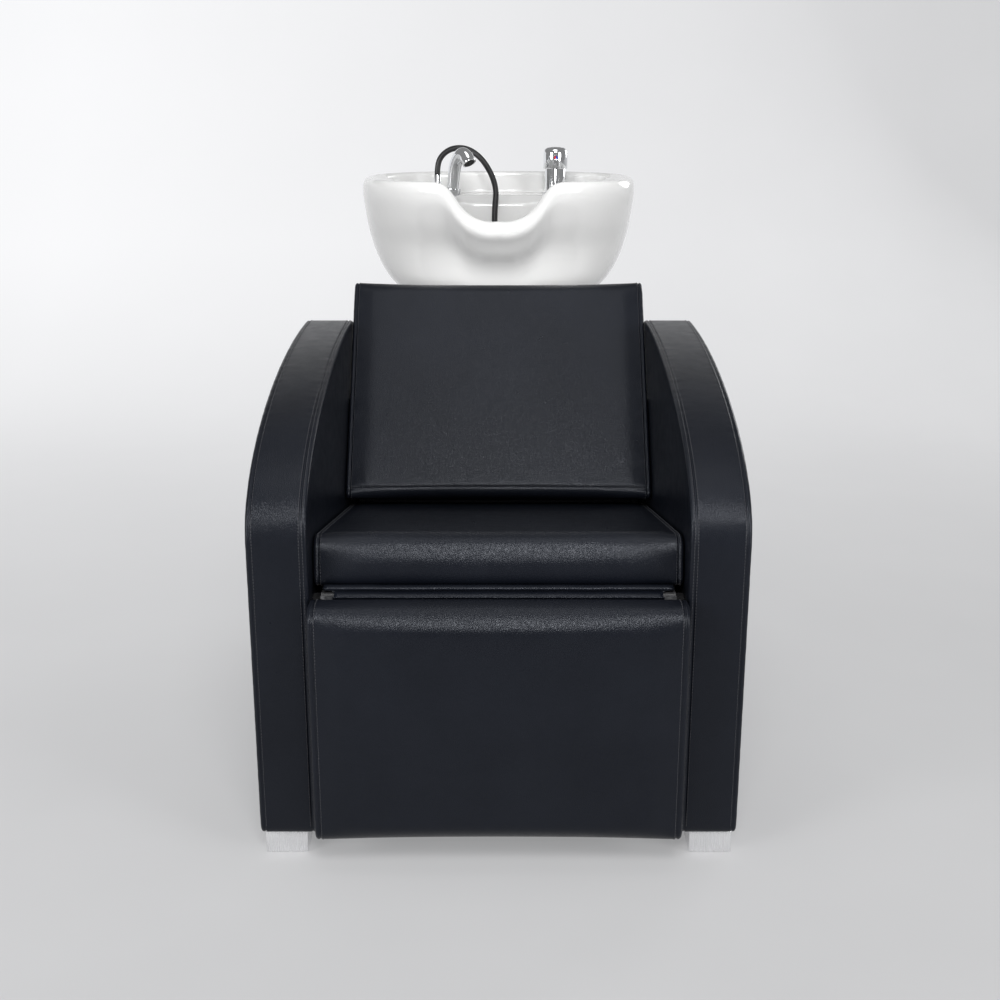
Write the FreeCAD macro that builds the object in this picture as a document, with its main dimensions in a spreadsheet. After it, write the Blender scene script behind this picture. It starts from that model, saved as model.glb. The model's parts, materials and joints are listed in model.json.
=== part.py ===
"""Backwash unit: an upholstered salon armchair with a lifting leg rest, and a tilting glazed
bowl on a plumbing column behind it. Millimetres, +Z up, +Y from the chair towards the bowl,
origin on the floor under the middle of the whole unit."""
import FreeCAD
import Part
import Sketcher
import math
import os
from FreeCAD import Placement, Rotation, Vector

SIZES = {
    # padded sides of the chair and the feet under them
    "overall_width": 700,
    "arm_thickness": 86,
    "arm_depth": 690,
    "arm_knee_height": 487,
    "arm_rear_height": 693,
    "arm_edge_radius": 9,
    "arm_padding": 11,
    "foot_width": 62,
    "foot_length": 62,
    "foot_height": 35,
    "foot_side_inset": 6,
    "foot_front_setback": 10,
    "foot_rear_setback": 38,
    "foot_chamfer": 2,
    # steel chassis under the seat
    "tube_size": 40,
    "tube_wall": 2,
    "rail_height": 60,
    "rail_end_gap": 6,
    "front_tube_setback": 34,
    "rear_tube_gap": 90,
    # seat
    "seat_setback": 34,
    "seat_edge_height": 410,
    "seat_tilt": 10.6,
    "seat_rear_gap": 190,
    "seat_thickness": 78,
    "seat_crown": 6,
    "seat_nose_radius": 24,
    "seat_side_gap": 2.5,
    "seat_board_thickness": 18,
    "seat_board_setback": 22,
    "seat_board_gap": 40,
    "bearer_leg": 36,
    "bearer_wall": 4,
    "bearer_setback": 60,
    "seat_bearer_gap": 110,
    # back
    "back_foot_gap": 249.25,
    "back_clearance": 6.5,
    "back_lean": 37,
    "back_length": 433,
    "back_thickness": 60,
    "back_crown": 9,
    "back_top_radius": 20,
    "back_board_thickness": 15,
    "back_board_inset": 14,
    "back_bearer_length": 150,
    "back_bearer_start": 42,
    "outer_panel_thickness": 30,
    "outer_panel_rise": 166,
    "outer_panel_lift": 68,
    # leg rest and its hinges
    "leg_rest_proud": 62,
    "leg_rest_side_gap": 3,
    "leg_rest_bottom": 50,
    "leg_rest_top": 404.5,
    "leg_rest_thickness": 56,
    "leg_rest_crown": 8,
    "leg_rest_radius": 24,
    "leg_rest_board_thickness": 12,
    "leg_rest_board_inset": 10,
    "front_rail_thickness": 18,
    "front_rail_drop": 60,
    "hinge_height": 400,
    "hinge_gap": 20,
    "hinge_inset": 59,
    "hinge_length": 90,
    "hinge_leaf": 2.5,
    "hinge_leaf_drop": 34,
    "knuckle_radius": 6,
    "knuckle_web": 4,
    "hinge_pin_radius": 3,
    "bumper_radius": 10,
    "bumper_offset": 150,
    "flap_inset": 15,
    "flap_thickness": 1.6,
    "flap_reach": 26,
    "flap_rise": 8.5,
    "flap_drop": 5.4,
    # piping of cushions and small clearances
    "cushion_edge": 9,
    "fit_gap": 0.3,
    "running_gap": 0.05,
    # plumbing column
    "column_width": 280,
    "column_depth": 240,
    "column_height": 600,
    "column_wall": 2,
    "column_flange": 22,
    "base_plate_width": 360,
    "base_plate_depth": 370,
    "base_plate_thickness": 8,
    "anchor_spacing_x": 220,
    "anchor_spacing_y": 310,
    "anchor_hole_radius": 5.5,
    "cover_screw_offset": 126,
    "cover_screw_radius": 2.4,
    "cover_screw_head": 4.6,
    "cover_screw_head_height": 3,
    "cover_screw_length": 12,
    # tilting head between column and bowl
    "head_plate_thickness": 6,
    "head_opening_width": 168,
    "head_opening_depth": 180,
    "head_opening_setback": 12,
    "ear_offset": 92,
    "ear_thickness": 8,
    "ear_width": 44,
    "ear_height": 44,
    "tilt_axis_lift": 34,
    "lug_thickness": 7.5,
    "lug_gap": 0.5,
    "lug_radius": 13,
    "pivot_radius": 6,
    "pivot_head_radius": 10,
    "pivot_head_length": 6,
    "carrier_width": 200,
    "carrier_depth": 180,
    "carrier_thickness": 5,
    "carrier_lift": 32,
    "pad_thickness": 3,
    "pad_radius": 16,
    "pad_spread_x": 80,
    "pad_spread_y": 68,
    "lever_hub_radius": 13,
    "lever_hub_length": 14,
    "lever_stand_off": 4,
    "lever_length": 62,
    "lever_rod_radius": 4,
    "lever_ball_radius": 9,
    # bowl
    "bowl_gap": 30,
    "bowl_width": 534,
    "bowl_length": 520,
    "bowl_height": 255,
    "neck_drop": 70,
    "neck_half_width": 120,
    "neck_flat_half_width": 8,
    "rim_roll": 14,
    "neck_roll": 23,
    "bowl_wall": 15,
    "basin_width": 486,
    "basin_length": 352,
    "basin_lip": 36,
    "basin_floor": 26,
    "deck_drop": 45,
    "deck_thickness": 14,
    "deck_depth": 128,
    "deck_wall": 19,
    "pocket_width": 330,
    "pocket_depth": 104,
    "pocket_mouth_width": 240,
    "pocket_mouth_depth": 96,
    "drain_setback": 235,
    "drain_hole_radius": 24,
    "drain_axis_radius": 20,
    # drain fitting
    "flange_radius": 35,
    "flange_thickness": 3,
    "flange_recess": 1,
    "drain_bore_radius": 19,
    "drain_tail_radius": 22,
    "drain_tail_drop": 124,
    "drain_seat_depth": 4,
    "backnut_radius": 34,
    "backnut_height": 5,
    "strainer_radius": 20.5,
    "strainer_rim_thickness": 1.5,
    "strainer_knob_radius": 3.5,
    "strainer_knob_height": 4,
    "strainer_hole_radius": 1.6,
    # mixer tap
    "mixer_offset": 120,
    "mixer_setback": 435,
    "mixer_body_radius": 21.5,
    "mixer_body_height": 52.5,
    "mixer_base_radius": 27,
    "mixer_base_height": 4,
    "mixer_shank_radius": 16,
    "mixer_shank_length": 44,
    "mixer_shank_gap": 1,
    "mixer_nut_radius": 24,
    "mixer_nut_height": 9,
    "stem_radius": 5,
    "stem_depth": 24,
    "stem_rise": 5,
    "handle_pin_radius": 3,
    "handle_radius": 25.5,
    "handle_wall": 1.9,
    "handle_skirt_height": 54,
    "handle_top_height": 98,
    "handle_dome": 12,
    "handle_roof": 8,
    "handle_boss_length": 4,
    "lever_width": 13,
    "lever_depth": 7,
    "lever_reach": 64,
    "lever_drop": 12,
    "mark_radius": 4,
    "mark_depth": 1,
    "mark_height": 22,
    # spray set
    "outlet_offset": 130,
    "outlet_setback": 450,
    "outlet_radius": 9,
    "outlet_height": 24,
    "ferrule_radius": 7.5,
    "ferrule_height": 16,
    "outlet_shank_radius": 8,
    "outlet_shank_length": 40,
    "outlet_nut_radius": 14,
    "outlet_nut_height": 7,
    "hose_radius": 6,
    "handset_offset": 97,
    "handset_setback": 346,
    "handset_tail_height": 872,
    "handset_yaw": 42,
    "handset_lean": 8,
    "handset_tail_radius": 8,
    "handset_grip_radius": 12.5,
    "handset_grip_length": 62,
    "handset_bend_rise": 46,
    "handset_reach": 48,
    "handset_head_radius": 13.2,
    "nozzle_radius": 14.2,
    "nozzle_lap": 4,
    "nozzle_length": 13,
    "spray_face_radius": 11.5,
    "spray_face_thickness": 2.5,
    "spray_hole_radius": 0.9,
    "holder_post_radius": 9,
    "holder_post_height": 22,
    "holder_setback": 412,
    "holder_ring_height": 12,
    "holder_ring_rise": 24,
    "holder_ring_wall": 4,
    "holder_arm_width": 10,
    "holder_arm_height": 8,
    "holder_screw_radius": 4,
    "holder_screw_length": 24,
    # supply and waste
    "supply_radius": 5,
    "supply_spread": 8,
    "waste_hose_radius": 20,
    "waste_pipe_radius": 20,
    "waste_pipe_height": 120,
    "waste_pipe_length": 66,
    "waste_pipe_stub": 36,
    "waste_collar_radius": 24,
    "port_lip": 2,
    "valve_offset": 70,
    "valve_height": 200,
    "valve_radius": 10.48,
    "valve_collar_radius": 14,
    "valve_length": 74,
    "valve_stub": 26,
    "valve_riser_offset": 10,
    "valve_riser_radius": 8,
    "valve_riser_height": 28,
}

doc = FreeCAD.newDocument("backwash_unit")
sheet = doc.addObject("Spreadsheet::Sheet", "sizes")
for row, (alias, number) in enumerate(SIZES.items(), start=1):
    sheet.set(f"A{row}", alias)
    sheet.set(f"B{row}", str(number))
    sheet.setAlias(f"B{row}", alias)
doc.recompute()


class Size:
    """A number together with the spreadsheet expression that it comes from."""

    def __init__(self, value, text):
        self.value = value
        self.text = text

    def __float__(self):
        return self.value

    def __add__(self, other):
        other = as_size(other)
        return Size(self.value + other.value, f"({self.text} + {other.text})")

    def __sub__(self, other):
        other = as_size(other)
        return Size(self.value - other.value, f"({self.text} - {other.text})")

    def __mul__(self, other):
        other = as_size(other)
        return Size(self.value * other.value, f"({self.text} * {other.text})")

    def __truediv__(self, other):
        other = as_size(other)
        return Size(self.value / other.value, f"({self.text} / {other.text})")

    def __neg__(self):
        return Size(-self.value, f"(0 - {self.text})")

    def __radd__(self, other):
        return as_size(other) + self

    def __rsub__(self, other):
        return as_size(other) - self

    def __rmul__(self, other):
        return as_size(other) * self


def as_size(number):
    if isinstance(number, Size):
        return number
    return Size(float(number), f"({float(number)})")


def sine(angle):
    return Size(math.sin(math.radians(angle.value)), f"sin({angle.text})")


def cosine(angle):
    return Size(math.cos(math.radians(angle.value)), f"cos({angle.text})")


class SheetSizes:
    """Named sizes, read from the spreadsheet."""

    def __getattr__(self, alias):
        return Size(float(sheet.get(alias)), f"sizes.{alias}")


S = SheetSizes()
ZERO = as_size(0)
SIDES = {"left": -1, "right": 1}
AXIS_TURNS = {
    "X": Rotation(Vector(0, 1, 0), 90),
    "Y": Rotation(Vector(1, 0, 0), -90),
    "Z": Rotation(),
}
nodes = {}

# Fore-and-aft places. The front plane of the arms is the datum of the photo's sizes.
BOWL_SETBACK = S.arm_depth + S.bowl_gap
ARM_FRONT = (S.leg_rest_proud - BOWL_SETBACK - S.bowl_length) / 2
BOWL_FRONT = ARM_FRONT + BOWL_SETBACK
BOWL_Y = BOWL_FRONT + S.bowl_length / 2
DRAIN_Y = BOWL_FRONT + S.drain_setback
COLUMN_FRONT = BOWL_Y - S.column_depth / 2
ARM_INNER = S.overall_width / 2 - S.arm_thickness
SEAT_LENGTH = S.arm_depth - S.seat_rear_gap
LEG_REST_WIDTH = ARM_INNER * 2 - S.leg_rest_side_gap * 2
TILT_Z = S.column_height + S.head_plate_thickness + S.tilt_axis_lift
CARRIER_Z = TILT_Z + S.carrier_lift
BOWL_BASE = CARRIER_Z + S.carrier_thickness + S.pad_thickness
BOWL_RIM = BOWL_BASE + S.bowl_height
FLOOR_Z = BOWL_BASE + S.basin_floor
DECK_Z = BOWL_RIM - S.deck_drop


class Frame:
    """A tilted working plane: u runs along it and v stands square to it, both in YZ."""

    def __init__(self, y, z, turn):
        self.y = y
        self.z = z
        self.turn = turn
        self.cos = cosine(turn)
        self.sin = sine(turn)

    def at(self, u, v):
        return (self.y + self.cos * u - self.sin * v, self.z + self.sin * u + self.cos * v)

    def placement(self):
        base = Vector(0, float(self.y), float(self.z))
        return Placement(base, Rotation(Vector(1, 0, 0), float(self.turn)))


def bind(obj, **values):
    """Set sizes of an object: bound to the sheet, or plain where a value is zero."""
    for prop, value in values.items():
        if value is ZERO:
            setattr(obj, prop, 0)
        else:
            obj.setExpression(prop, as_size(value).text)


def put(obj, x, y, z):
    for axis, value in zip("xyz", (x, y, z)):
        obj.setExpression(f"Placement.Base.{axis}", as_size(value).text)
    return obj


def box(label, low, size, frame=None):
    """A box from its low corner; in a frame the corner is (x, u, v)."""
    obj = doc.addObject("Part::Box", label)
    bind(obj, Length=size[0], Width=size[1], Height=size[2])
    if frame is None:
        return put(obj, *low)
    obj.Placement = frame.placement()
    obj.setExpression("Placement.Rotation.Angle", frame.turn.text)
    return put(obj, low[0], *frame.at(low[1], low[2]))


def cylinder(label, base, axis, radius, height):
    obj = doc.addObject("Part::Cylinder", label)
    bind(obj, Radius=radius, Height=height)
    obj.Placement = Placement(Vector(), AXIS_TURNS[axis])
    return put(obj, *base)


def join(label, *parts):
    obj = doc.addObject("Part::MultiFuse", label)
    obj.Shapes = list(parts)
    obj.Refine = True
    return obj


def cut(label, base, *tools):
    obj = doc.addObject("Part::Cut", label)
    obj.Base = base
    obj.Tool = tools[0] if len(tools) == 1 else join(f"{label}_tools", *tools)
    return obj


def feature(label, shape, placement=None):
    obj = doc.addObject("Part::Feature", label)
    obj.Shape = shape
    if placement is not None:
        obj.Placement = placement
    return obj


def node(label, obj):
    """Name an object as one sub-part of the unit."""
    obj.Label = label
    nodes[label] = obj
    return obj


def own_plane(body, role):
    return next(item for item in body.Origin.OriginFeatures if item.Role == role)


def outline(body, name, role, points):
    """A closed sketch of straight lines whose corners are bound to the sheet."""
    sketch = body.newObject("Sketcher::SketchObject", name)
    sketch.AttachmentSupport = [(own_plane(body, role), "")]
    sketch.MapMode = "FlatFace"
    corners = [Vector(float(a), float(b), 0) for a, b in points]
    count = len(corners)
    for index in range(count):
        line = Part.LineSegment(corners[index], corners[(index + 1) % count])
        sketch.addGeometry(line, False)
    for index in range(count):
        sketch.addConstraint(Sketcher.Constraint("Coincident", index, 2, (index + 1) % count, 1))
    for index, point in enumerate(points):
        for kind, value in zip(("DistanceX", "DistanceY"), point):
            limit = Sketcher.Constraint(kind, -1, 1, index, 1, float(value))
            place = sketch.addConstraint(limit)
            if value is not ZERO:
                sketch.setExpression(f"Constraints[{place}]", value.text)
    return sketch


def revolved(label, points, x, y, z):
    """A turned piece: a body with a half section (radius, height) spun about its Z axis."""
    body = doc.addObject("PartDesign::Body", label)
    sketch = outline(body, f"{label}_section", "XZ_Plane", points)
    turn = body.newObject("PartDesign::Revolution", f"{label}_turned")
    turn.Profile = sketch
    turn.ReferenceAxis = (sketch, ["V_Axis"])
    turn.Angle = 360
    return put(body, x, y, z)


def block(label, width, depth, height, edge, x, y, z):
    """A block standing on z, centred on x and y, with its lower edges chamfered."""
    body = doc.addObject("PartDesign::Body", label)
    corners = [(-width / 2, -depth / 2), (width / 2, -depth / 2),
               (width / 2, depth / 2), (-width / 2, depth / 2)]
    sketch = outline(body, f"{label}_plan", "XY_Plane", corners)
    pad = body.newObject("PartDesign::Pad", f"{label}_pad")
    pad.Profile = sketch
    bind(pad, Length=height)
    doc.recompute()
    low = [f"Edge{index}" for index, item in enumerate(pad.Shape.Edges, start=1)
           if item.BoundBox.ZMax < float(height) / 2]
    chamfer = body.newObject("PartDesign::Chamfer", f"{label}_edges")
    chamfer.Base = (pad, low)
    bind(chamfer, Size=edge)
    return put(body, x, y, z)


def tube(label, low, length, along, size, wall):
    """A square tube laid along X or Y."""
    inner = size - wall * 2
    x, y, z = low
    if along == "X":
        outer = box(f"{label}_outer", low, (length, size, size))
        hollow = box(f"{label}_hollow", (x, y + wall, z + wall), (length, inner, inner))
    else:
        outer = box(f"{label}_outer", low, (size, length, size))
        hollow = box(f"{label}_hollow", (x + wall, y, z + wall), (inner, length, inner))
    return cut(label, outer, hollow)


def span(side, near, far):
    """The low X of a span that lies between two offsets on one side of the middle."""
    return near if side > 0 else -far


def corner_arc(before, corner, after, radius):
    """The two tangent points and the middle of a rounded corner."""
    first = (before - corner).normalize()
    second = (after - corner).normalize()
    half = first.getAngle(second) / 2
    reach = radius / math.tan(half)
    bisector = (first + second).normalize()
    middle = corner + bisector * (radius / math.sin(half) - radius)
    return corner + first * reach, middle, corner + second * reach


def rounded_wire(corners, radii, bulges, x):
    """A closed wire in a plane of constant x; a bulge bows the edge that follows a corner."""
    points = [Vector(x, u, v) for u, v in corners]
    count = len(points)
    arcs = [corner_arc(points[i - 1], points[i], points[(i + 1) % count], radii[i])
            for i in range(count)]
    edges = []
    for index in range(count):
        start, middle, end = arcs[index]
        edges.append(Part.Arc(start, middle, end).toShape())
        onward = arcs[(index + 1) % count][0]
        if bulges[index] == 0:
            edges.append(Part.LineSegment(end, onward).toShape())
            continue
        run = onward - end
        outward = Vector(0, run.z, -run.y).normalize()
        crest = (end + onward) / 2 + outward * bulges[index]
        edges.append(Part.Arc(end, crest, onward).toShape())
    return Part.Wire(edges)


def cushion(corners, radii, bowed, width, crown, edge):
    """A stuffed slab: sections across X with drawn-in ends and one crowned face."""
    middle = [sum(axis) / len(corners) for axis in zip(*corners)]
    half = float(width) / 2
    edge = float(edge)
    reach = max(abs(v - middle[1]) for u, v in corners)
    stations = [(-half, edge), (edge / 3 - half, edge / 3), (edge - half, 0)]
    stations += [(share * (half - edge), 0) for share in (-0.5, 0, 0.5)]
    stations += [(-x, inset) for x, inset in reversed(stations[:3])]
    sections = []
    for x, inset in stations:
        scale = 1 - inset / reach
        shrunk = [(u - math.copysign(inset, u - middle[0]), middle[1] + (v - middle[1]) * scale)
                  for u, v in corners]
        swell = float(crown) * (1 - (x / half) ** 2)
        bulges = [swell if index == bowed else 0 for index in range(len(corners))]
        sections.append(rounded_wire(shrunk, [float(r) for r in radii], bulges, x))
    return Part.makeLoft(sections, True, True)


def hose(label, points, radius):
    """A round hose along straight runs joined by tangent arcs."""
    path = [Vector(*[float(value) for value in point]) for point in points]
    edges = []
    start = path[0]
    tightest = math.inf
    for before, corner, after in zip(path, path[1:], path[2:]):
        turn = math.pi - (before - corner).getAngle(after - corner)
        run = min((corner - before).Length, (after - corner).Length)
        bend = BEND_SHARE * run / math.tan(turn / 2)
        tightest = min(tightest, bend)
        first, middle, second = corner_arc(before, corner, after, bend)
        edges += [Part.LineSegment(start, first).toShape(), Part.Arc(first, middle, second).toShape()]
        start = second
    edges.append(Part.LineSegment(start, path[-1]).toShape())
    wire = Part.Wire(edges)
    ring = Part.Circle(path[0], path[1] - path[0], float(radius)).toShape()
    shape = wire.makePipeShell([Part.Wire([ring])], True, False)
    ideal = math.pi * float(radius) ** 2 * wire.Length
    print(f"{label}: length {wire.Length:.1f}, tightest bend {tightest:.1f}, "
          f"volume share {shape.Volume / ideal:.4f}")
    return node(label, feature(label, shape))


BEND_SHARE = 0.45


def arm_outline(front, rear, bottom, knee, top, x):
    """Side view of an arm: upright front, quarter-ellipse top, upright rear."""
    front_low = Vector(x, front, bottom)
    front_high = Vector(x, front, knee)
    rear_high = Vector(x, rear, top)
    rear_low = Vector(x, rear, bottom)
    arch = Part.Ellipse(front_high, rear_high, Vector(x, rear, knee))
    edges = [
        Part.LineSegment(front_low, front_high).toShape(),
        Part.ArcOfEllipse(arch, 0, math.pi / 2).toShape(),
        Part.LineSegment(rear_high, rear_low).toShape(),
        Part.LineSegment(rear_low, front_low).toShape(),
    ]
    return Part.Face(Part.Wire(edges))


def arm_slab(label, side, inset, thickness, start):
    """An arm outline drawn in by an inset, pulled to a slab of the given thickness."""
    face = arm_outline(float(ARM_FRONT + inset), float(ARM_FRONT + S.arm_depth - inset),
                       float(S.foot_height), float(S.arm_knee_height),
                       float(S.arm_rear_height - inset), 0)
    slab = doc.addObject("Part::Extrusion", label)
    slab.Base = feature(f"{label}_outline", face)
    slab.DirMode = "Custom"
    slab.Dir = Vector(1, 0, 0)
    slab.Solid = True
    bind(slab, LengthFwd=thickness)
    return put(slab, span(side, start, start + thickness), ZERO, ZERO)


def build_arms():
    for name, side in SIDES.items():
        slab = arm_slab(f"{name}_arm_slab", side, ZERO, S.arm_thickness, ARM_INNER)
        doc.recompute()
        floor = float(S.foot_height)
        soft = []
        for index, item in enumerate(slab.Shape.Edges, start=1):
            bounds = item.BoundBox
            on_side = bounds.XLength < float(S.fit_gap) and bounds.ZMax > floor + float(S.fit_gap)
            rear_top = bounds.ZMin > float(S.arm_rear_height - S.fit_gap)
            if on_side or rear_top:
                soft.append((index, float(S.arm_edge_radius), float(S.arm_edge_radius)))
        rounded = doc.addObject("Part::Fillet", f"{name}_arm_rounded")
        rounded.Base = slab
        rounded.Edges = soft
        space = S.arm_padding - S.fit_gap
        hollow = arm_slab(f"{name}_arm_hollow", side, space, S.arm_thickness - space * 2,
                          ARM_INNER + space)
        node(f"{name}_arm_cover", cut(f"{name}_arm_cover", rounded, hollow))
        node(f"{name}_arm_core", arm_slab(f"{name}_arm_core", side, S.arm_padding,
                                          S.arm_thickness - S.arm_padding * 2,
                                          ARM_INNER + S.arm_padding))
        across = S.overall_width / 2 - S.foot_side_inset - S.foot_width / 2
        front = ARM_FRONT + S.foot_front_setback + S.foot_length / 2
        rear = ARM_FRONT + S.arm_depth - S.foot_rear_setback - S.foot_length / 2
        for end, y in (("front", front), ("rear", rear)):
            label = f"{end}_{name}_foot"
            node(label, block(label, S.foot_width, S.foot_length, S.foot_height, S.foot_chamfer,
                              across * side, y, ZERO))


def build_chassis():
    tube_z = S.rail_height + S.tube_size
    width = ARM_INNER * 2
    near = S.column_width / 2
    rail_front = ARM_FRONT + S.front_tube_setback
    rail_length = COLUMN_FRONT + S.column_depth - S.rail_end_gap - rail_front
    for name, side in SIDES.items():
        low = (span(side, near, near + S.tube_size), rail_front, S.rail_height)
        node(f"{name}_chassis_rail", tube(f"{name}_chassis_rail", low, rail_length, "Y",
                                          S.tube_size, S.tube_wall))
    for name, setback in (("front", S.front_tube_setback), ("rear", S.arm_depth - S.rear_tube_gap)):
        low = (-ARM_INNER, ARM_FRONT + setback, tube_z)
        node(f"{name}_cross_tube", tube(f"{name}_cross_tube", low, width, "X",
                                        S.tube_size, S.tube_wall))


SEAT = Frame(ARM_FRONT + S.seat_setback, S.seat_edge_height, -S.seat_tilt)
_back_up = S.seat_thickness + S.back_clearance
_back_run = S.arm_depth - S.back_foot_gap - S.seat_setback - sine(S.seat_tilt) * _back_up
_back_y, _back_z = SEAT.at(_back_run / cosine(S.seat_tilt), _back_up)
BACK = Frame(_back_y + cosine(S.back_lean) * S.back_thickness,
             _back_z - sine(S.back_lean) * S.back_thickness, 90 - S.back_lean)


def bearer(label, side, frame, start, length, top):
    """An angle bar on an arm's inner face that carries a board."""
    near = ARM_INNER - S.bearer_leg
    shelf = box(f"{label}_shelf", (span(side, near, ARM_INNER), start, top - S.bearer_wall),
                (S.bearer_leg, length, S.bearer_wall), frame)
    web = box(f"{label}_web",
              (span(side, ARM_INNER - S.bearer_wall, ARM_INNER), start, top - S.bearer_leg),
              (S.bearer_wall, length, S.bearer_leg), frame)
    return node(label, join(label, shelf, web))


def build_seat():
    length, thick = float(SEAT_LENGTH), float(S.seat_thickness)
    corners = [(0, 0), (length, 0), (length, thick), (0, thick)]
    small = S.cushion_edge / 2
    radii = (small, small, S.cushion_edge, S.seat_nose_radius)
    width = ARM_INNER * 2 - S.seat_side_gap * 2
    shape = cushion(corners, radii, 2, width, S.seat_crown, S.cushion_edge)
    node("seat_cushion", feature("seat_cushion", shape, SEAT.placement()))
    board_width = width - S.cushion_edge * 2
    node("seat_board", box("seat_board",
                           (-board_width / 2, S.seat_board_setback, -S.seat_board_thickness),
                           (board_width, (SEAT_LENGTH - S.seat_board_gap), S.seat_board_thickness), SEAT))
    for name, side in SIDES.items():
        bearer(f"{name}_seat_bearer", side, SEAT, S.bearer_setback,
               SEAT_LENGTH - S.seat_bearer_gap,
               -S.seat_board_thickness)


def build_back():
    length, thick = float(S.back_length), float(S.back_thickness)
    heel = thick * math.tan(math.radians(float(S.back_lean - S.seat_tilt)))
    corners = [(heel, 0), (length, 0), (length, thick), (0, thick)]
    small = S.cushion_edge / 2
    radii = (small, S.back_top_radius / 2, S.back_top_radius, S.cushion_edge)
    width = ARM_INNER * 2 - S.seat_side_gap * 2
    shape = cushion(corners, radii, 2, width, S.back_crown, S.cushion_edge)
    node("back_cushion", feature("back_cushion", shape, BACK.placement()))
    board_width = width - S.cushion_edge * 2
    start = S.back_thickness
    node("back_board", box("back_board", (-board_width / 2, start, -S.back_board_thickness),
                           (board_width, S.back_length - start - S.back_board_inset,
                            S.back_board_thickness), BACK))
    for name, side in SIDES.items():
        bearer(f"{name}_back_bearer", side, BACK, S.back_bearer_start, S.back_bearer_length,
               -S.back_board_thickness)
    panel_width = ARM_INNER * 2
    panel_z = S.foot_height + S.outer_panel_lift
    panel_top = _back_z - sine(S.back_lean) * S.back_thickness + S.outer_panel_rise
    rear = ARM_FRONT + S.arm_depth - S.arm_edge_radius
    node("outer_back_panel", box("outer_back_panel",
                                 (-ARM_INNER, rear - S.outer_panel_thickness, panel_z),
                                 (panel_width, S.outer_panel_thickness, panel_top - panel_z)))


HINGE_Y = ARM_FRONT + S.seat_setback - S.hinge_gap / 2
BOARD_REAR = HINGE_Y - S.hinge_gap / 2
RAIL_FRONT = HINGE_Y + S.hinge_gap / 2


def build_hinge(name, side):
    """A ratchet hinge: fixed leaf on the rail, moving leaf on the leg-rest board."""
    middle = (ARM_INNER - S.hinge_inset) * side
    low_x = middle - S.hinge_length / 2
    third = S.hinge_length / 3
    leaf_z = S.hinge_height - S.hinge_leaf_drop
    leaf_size = (S.hinge_length, S.hinge_leaf, S.hinge_leaf_drop + S.hinge_leaf)
    web_z = S.hinge_height - S.knuckle_web / 2
    web_length = S.hinge_gap / 2 - S.hinge_leaf / 2
    for kind, starts, plate_y, web_y in (
            ("fixed", (low_x, low_x + third * 2), RAIL_FRONT - S.hinge_leaf, HINGE_Y),
            ("moving", (low_x + third,), BOARD_REAR, HINGE_Y - web_length)):
        label = f"{name}_hinge_{kind}_leaf"
        parts = [box(f"{label}_plate", (low_x, plate_y, leaf_z), leaf_size)]
        for index, start in enumerate(starts):
            at = start + S.fit_gap
            length = third - S.fit_gap * 2
            parts.append(cylinder(f"{label}_knuckle_{index}", (at, HINGE_Y, S.hinge_height), "X",
                                  S.knuckle_radius, length))
            parts.append(box(f"{label}_web_{index}", (at, web_y, web_z),
                             (length, web_length, S.knuckle_web)))
        bore = cylinder(f"{label}_bore", (low_x, HINGE_Y, S.hinge_height), "X",
                        S.hinge_pin_radius + S.running_gap, S.hinge_length)
        node(label, cut(label, join(f"{label}_blank", *parts), bore))
    return cylinder(f"{name}_hinge_pin", (low_x, HINGE_Y, S.hinge_height), "X",
                    S.hinge_pin_radius, S.hinge_length)


def build_leg_rest():
    height = float(S.leg_rest_top - S.leg_rest_bottom)
    thick = float(S.leg_rest_thickness)
    corners = [(0, 0), (height, 0), (height, thick), (0, thick)]
    radii = (S.cushion_edge, S.cushion_edge, S.leg_rest_radius, S.leg_rest_radius)
    shape = cushion(corners, radii, 2, LEG_REST_WIDTH, S.leg_rest_crown, S.cushion_edge)
    board_front = BOARD_REAR - S.leg_rest_board_thickness
    upright = Frame(board_front, S.leg_rest_bottom, as_size(90))
    node("leg_rest_cushion", feature("leg_rest_cushion", shape, upright.placement()))
    inset = S.leg_rest_board_inset
    board_width = LEG_REST_WIDTH - inset * 2
    node("leg_rest_board", box("leg_rest_board",
                               (-board_width / 2, board_front, S.leg_rest_bottom + inset),
                               (board_width, S.leg_rest_board_thickness,
                                S.leg_rest_top - S.leg_rest_bottom - inset * 2)))
    rail_top = S.hinge_height - S.knuckle_radius
    node("front_rail", box("front_rail", (-ARM_INNER, RAIL_FRONT, rail_top - S.front_rail_drop),
                           (ARM_INNER * 2, S.front_rail_thickness, S.front_rail_drop)))
    pins = [build_hinge(name, side) for name, side in SIDES.items()]
    node("hinge_pins", join("hinge_pins", *pins))
    bumper_z = S.rail_height + S.tube_size * 1.5
    bumper_y = BOARD_REAR + S.fit_gap
    bumpers = [cylinder(f"{name}_bumper", (S.bumper_offset * side, bumper_y, bumper_z), "Y",
                        S.bumper_radius, ARM_FRONT + S.front_tube_setback - bumper_y)
               for name, side in SIDES.items()]
    node("leg_rest_bumpers", join("leg_rest_bumpers", *bumpers))
    build_flap(rail_top)


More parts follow.
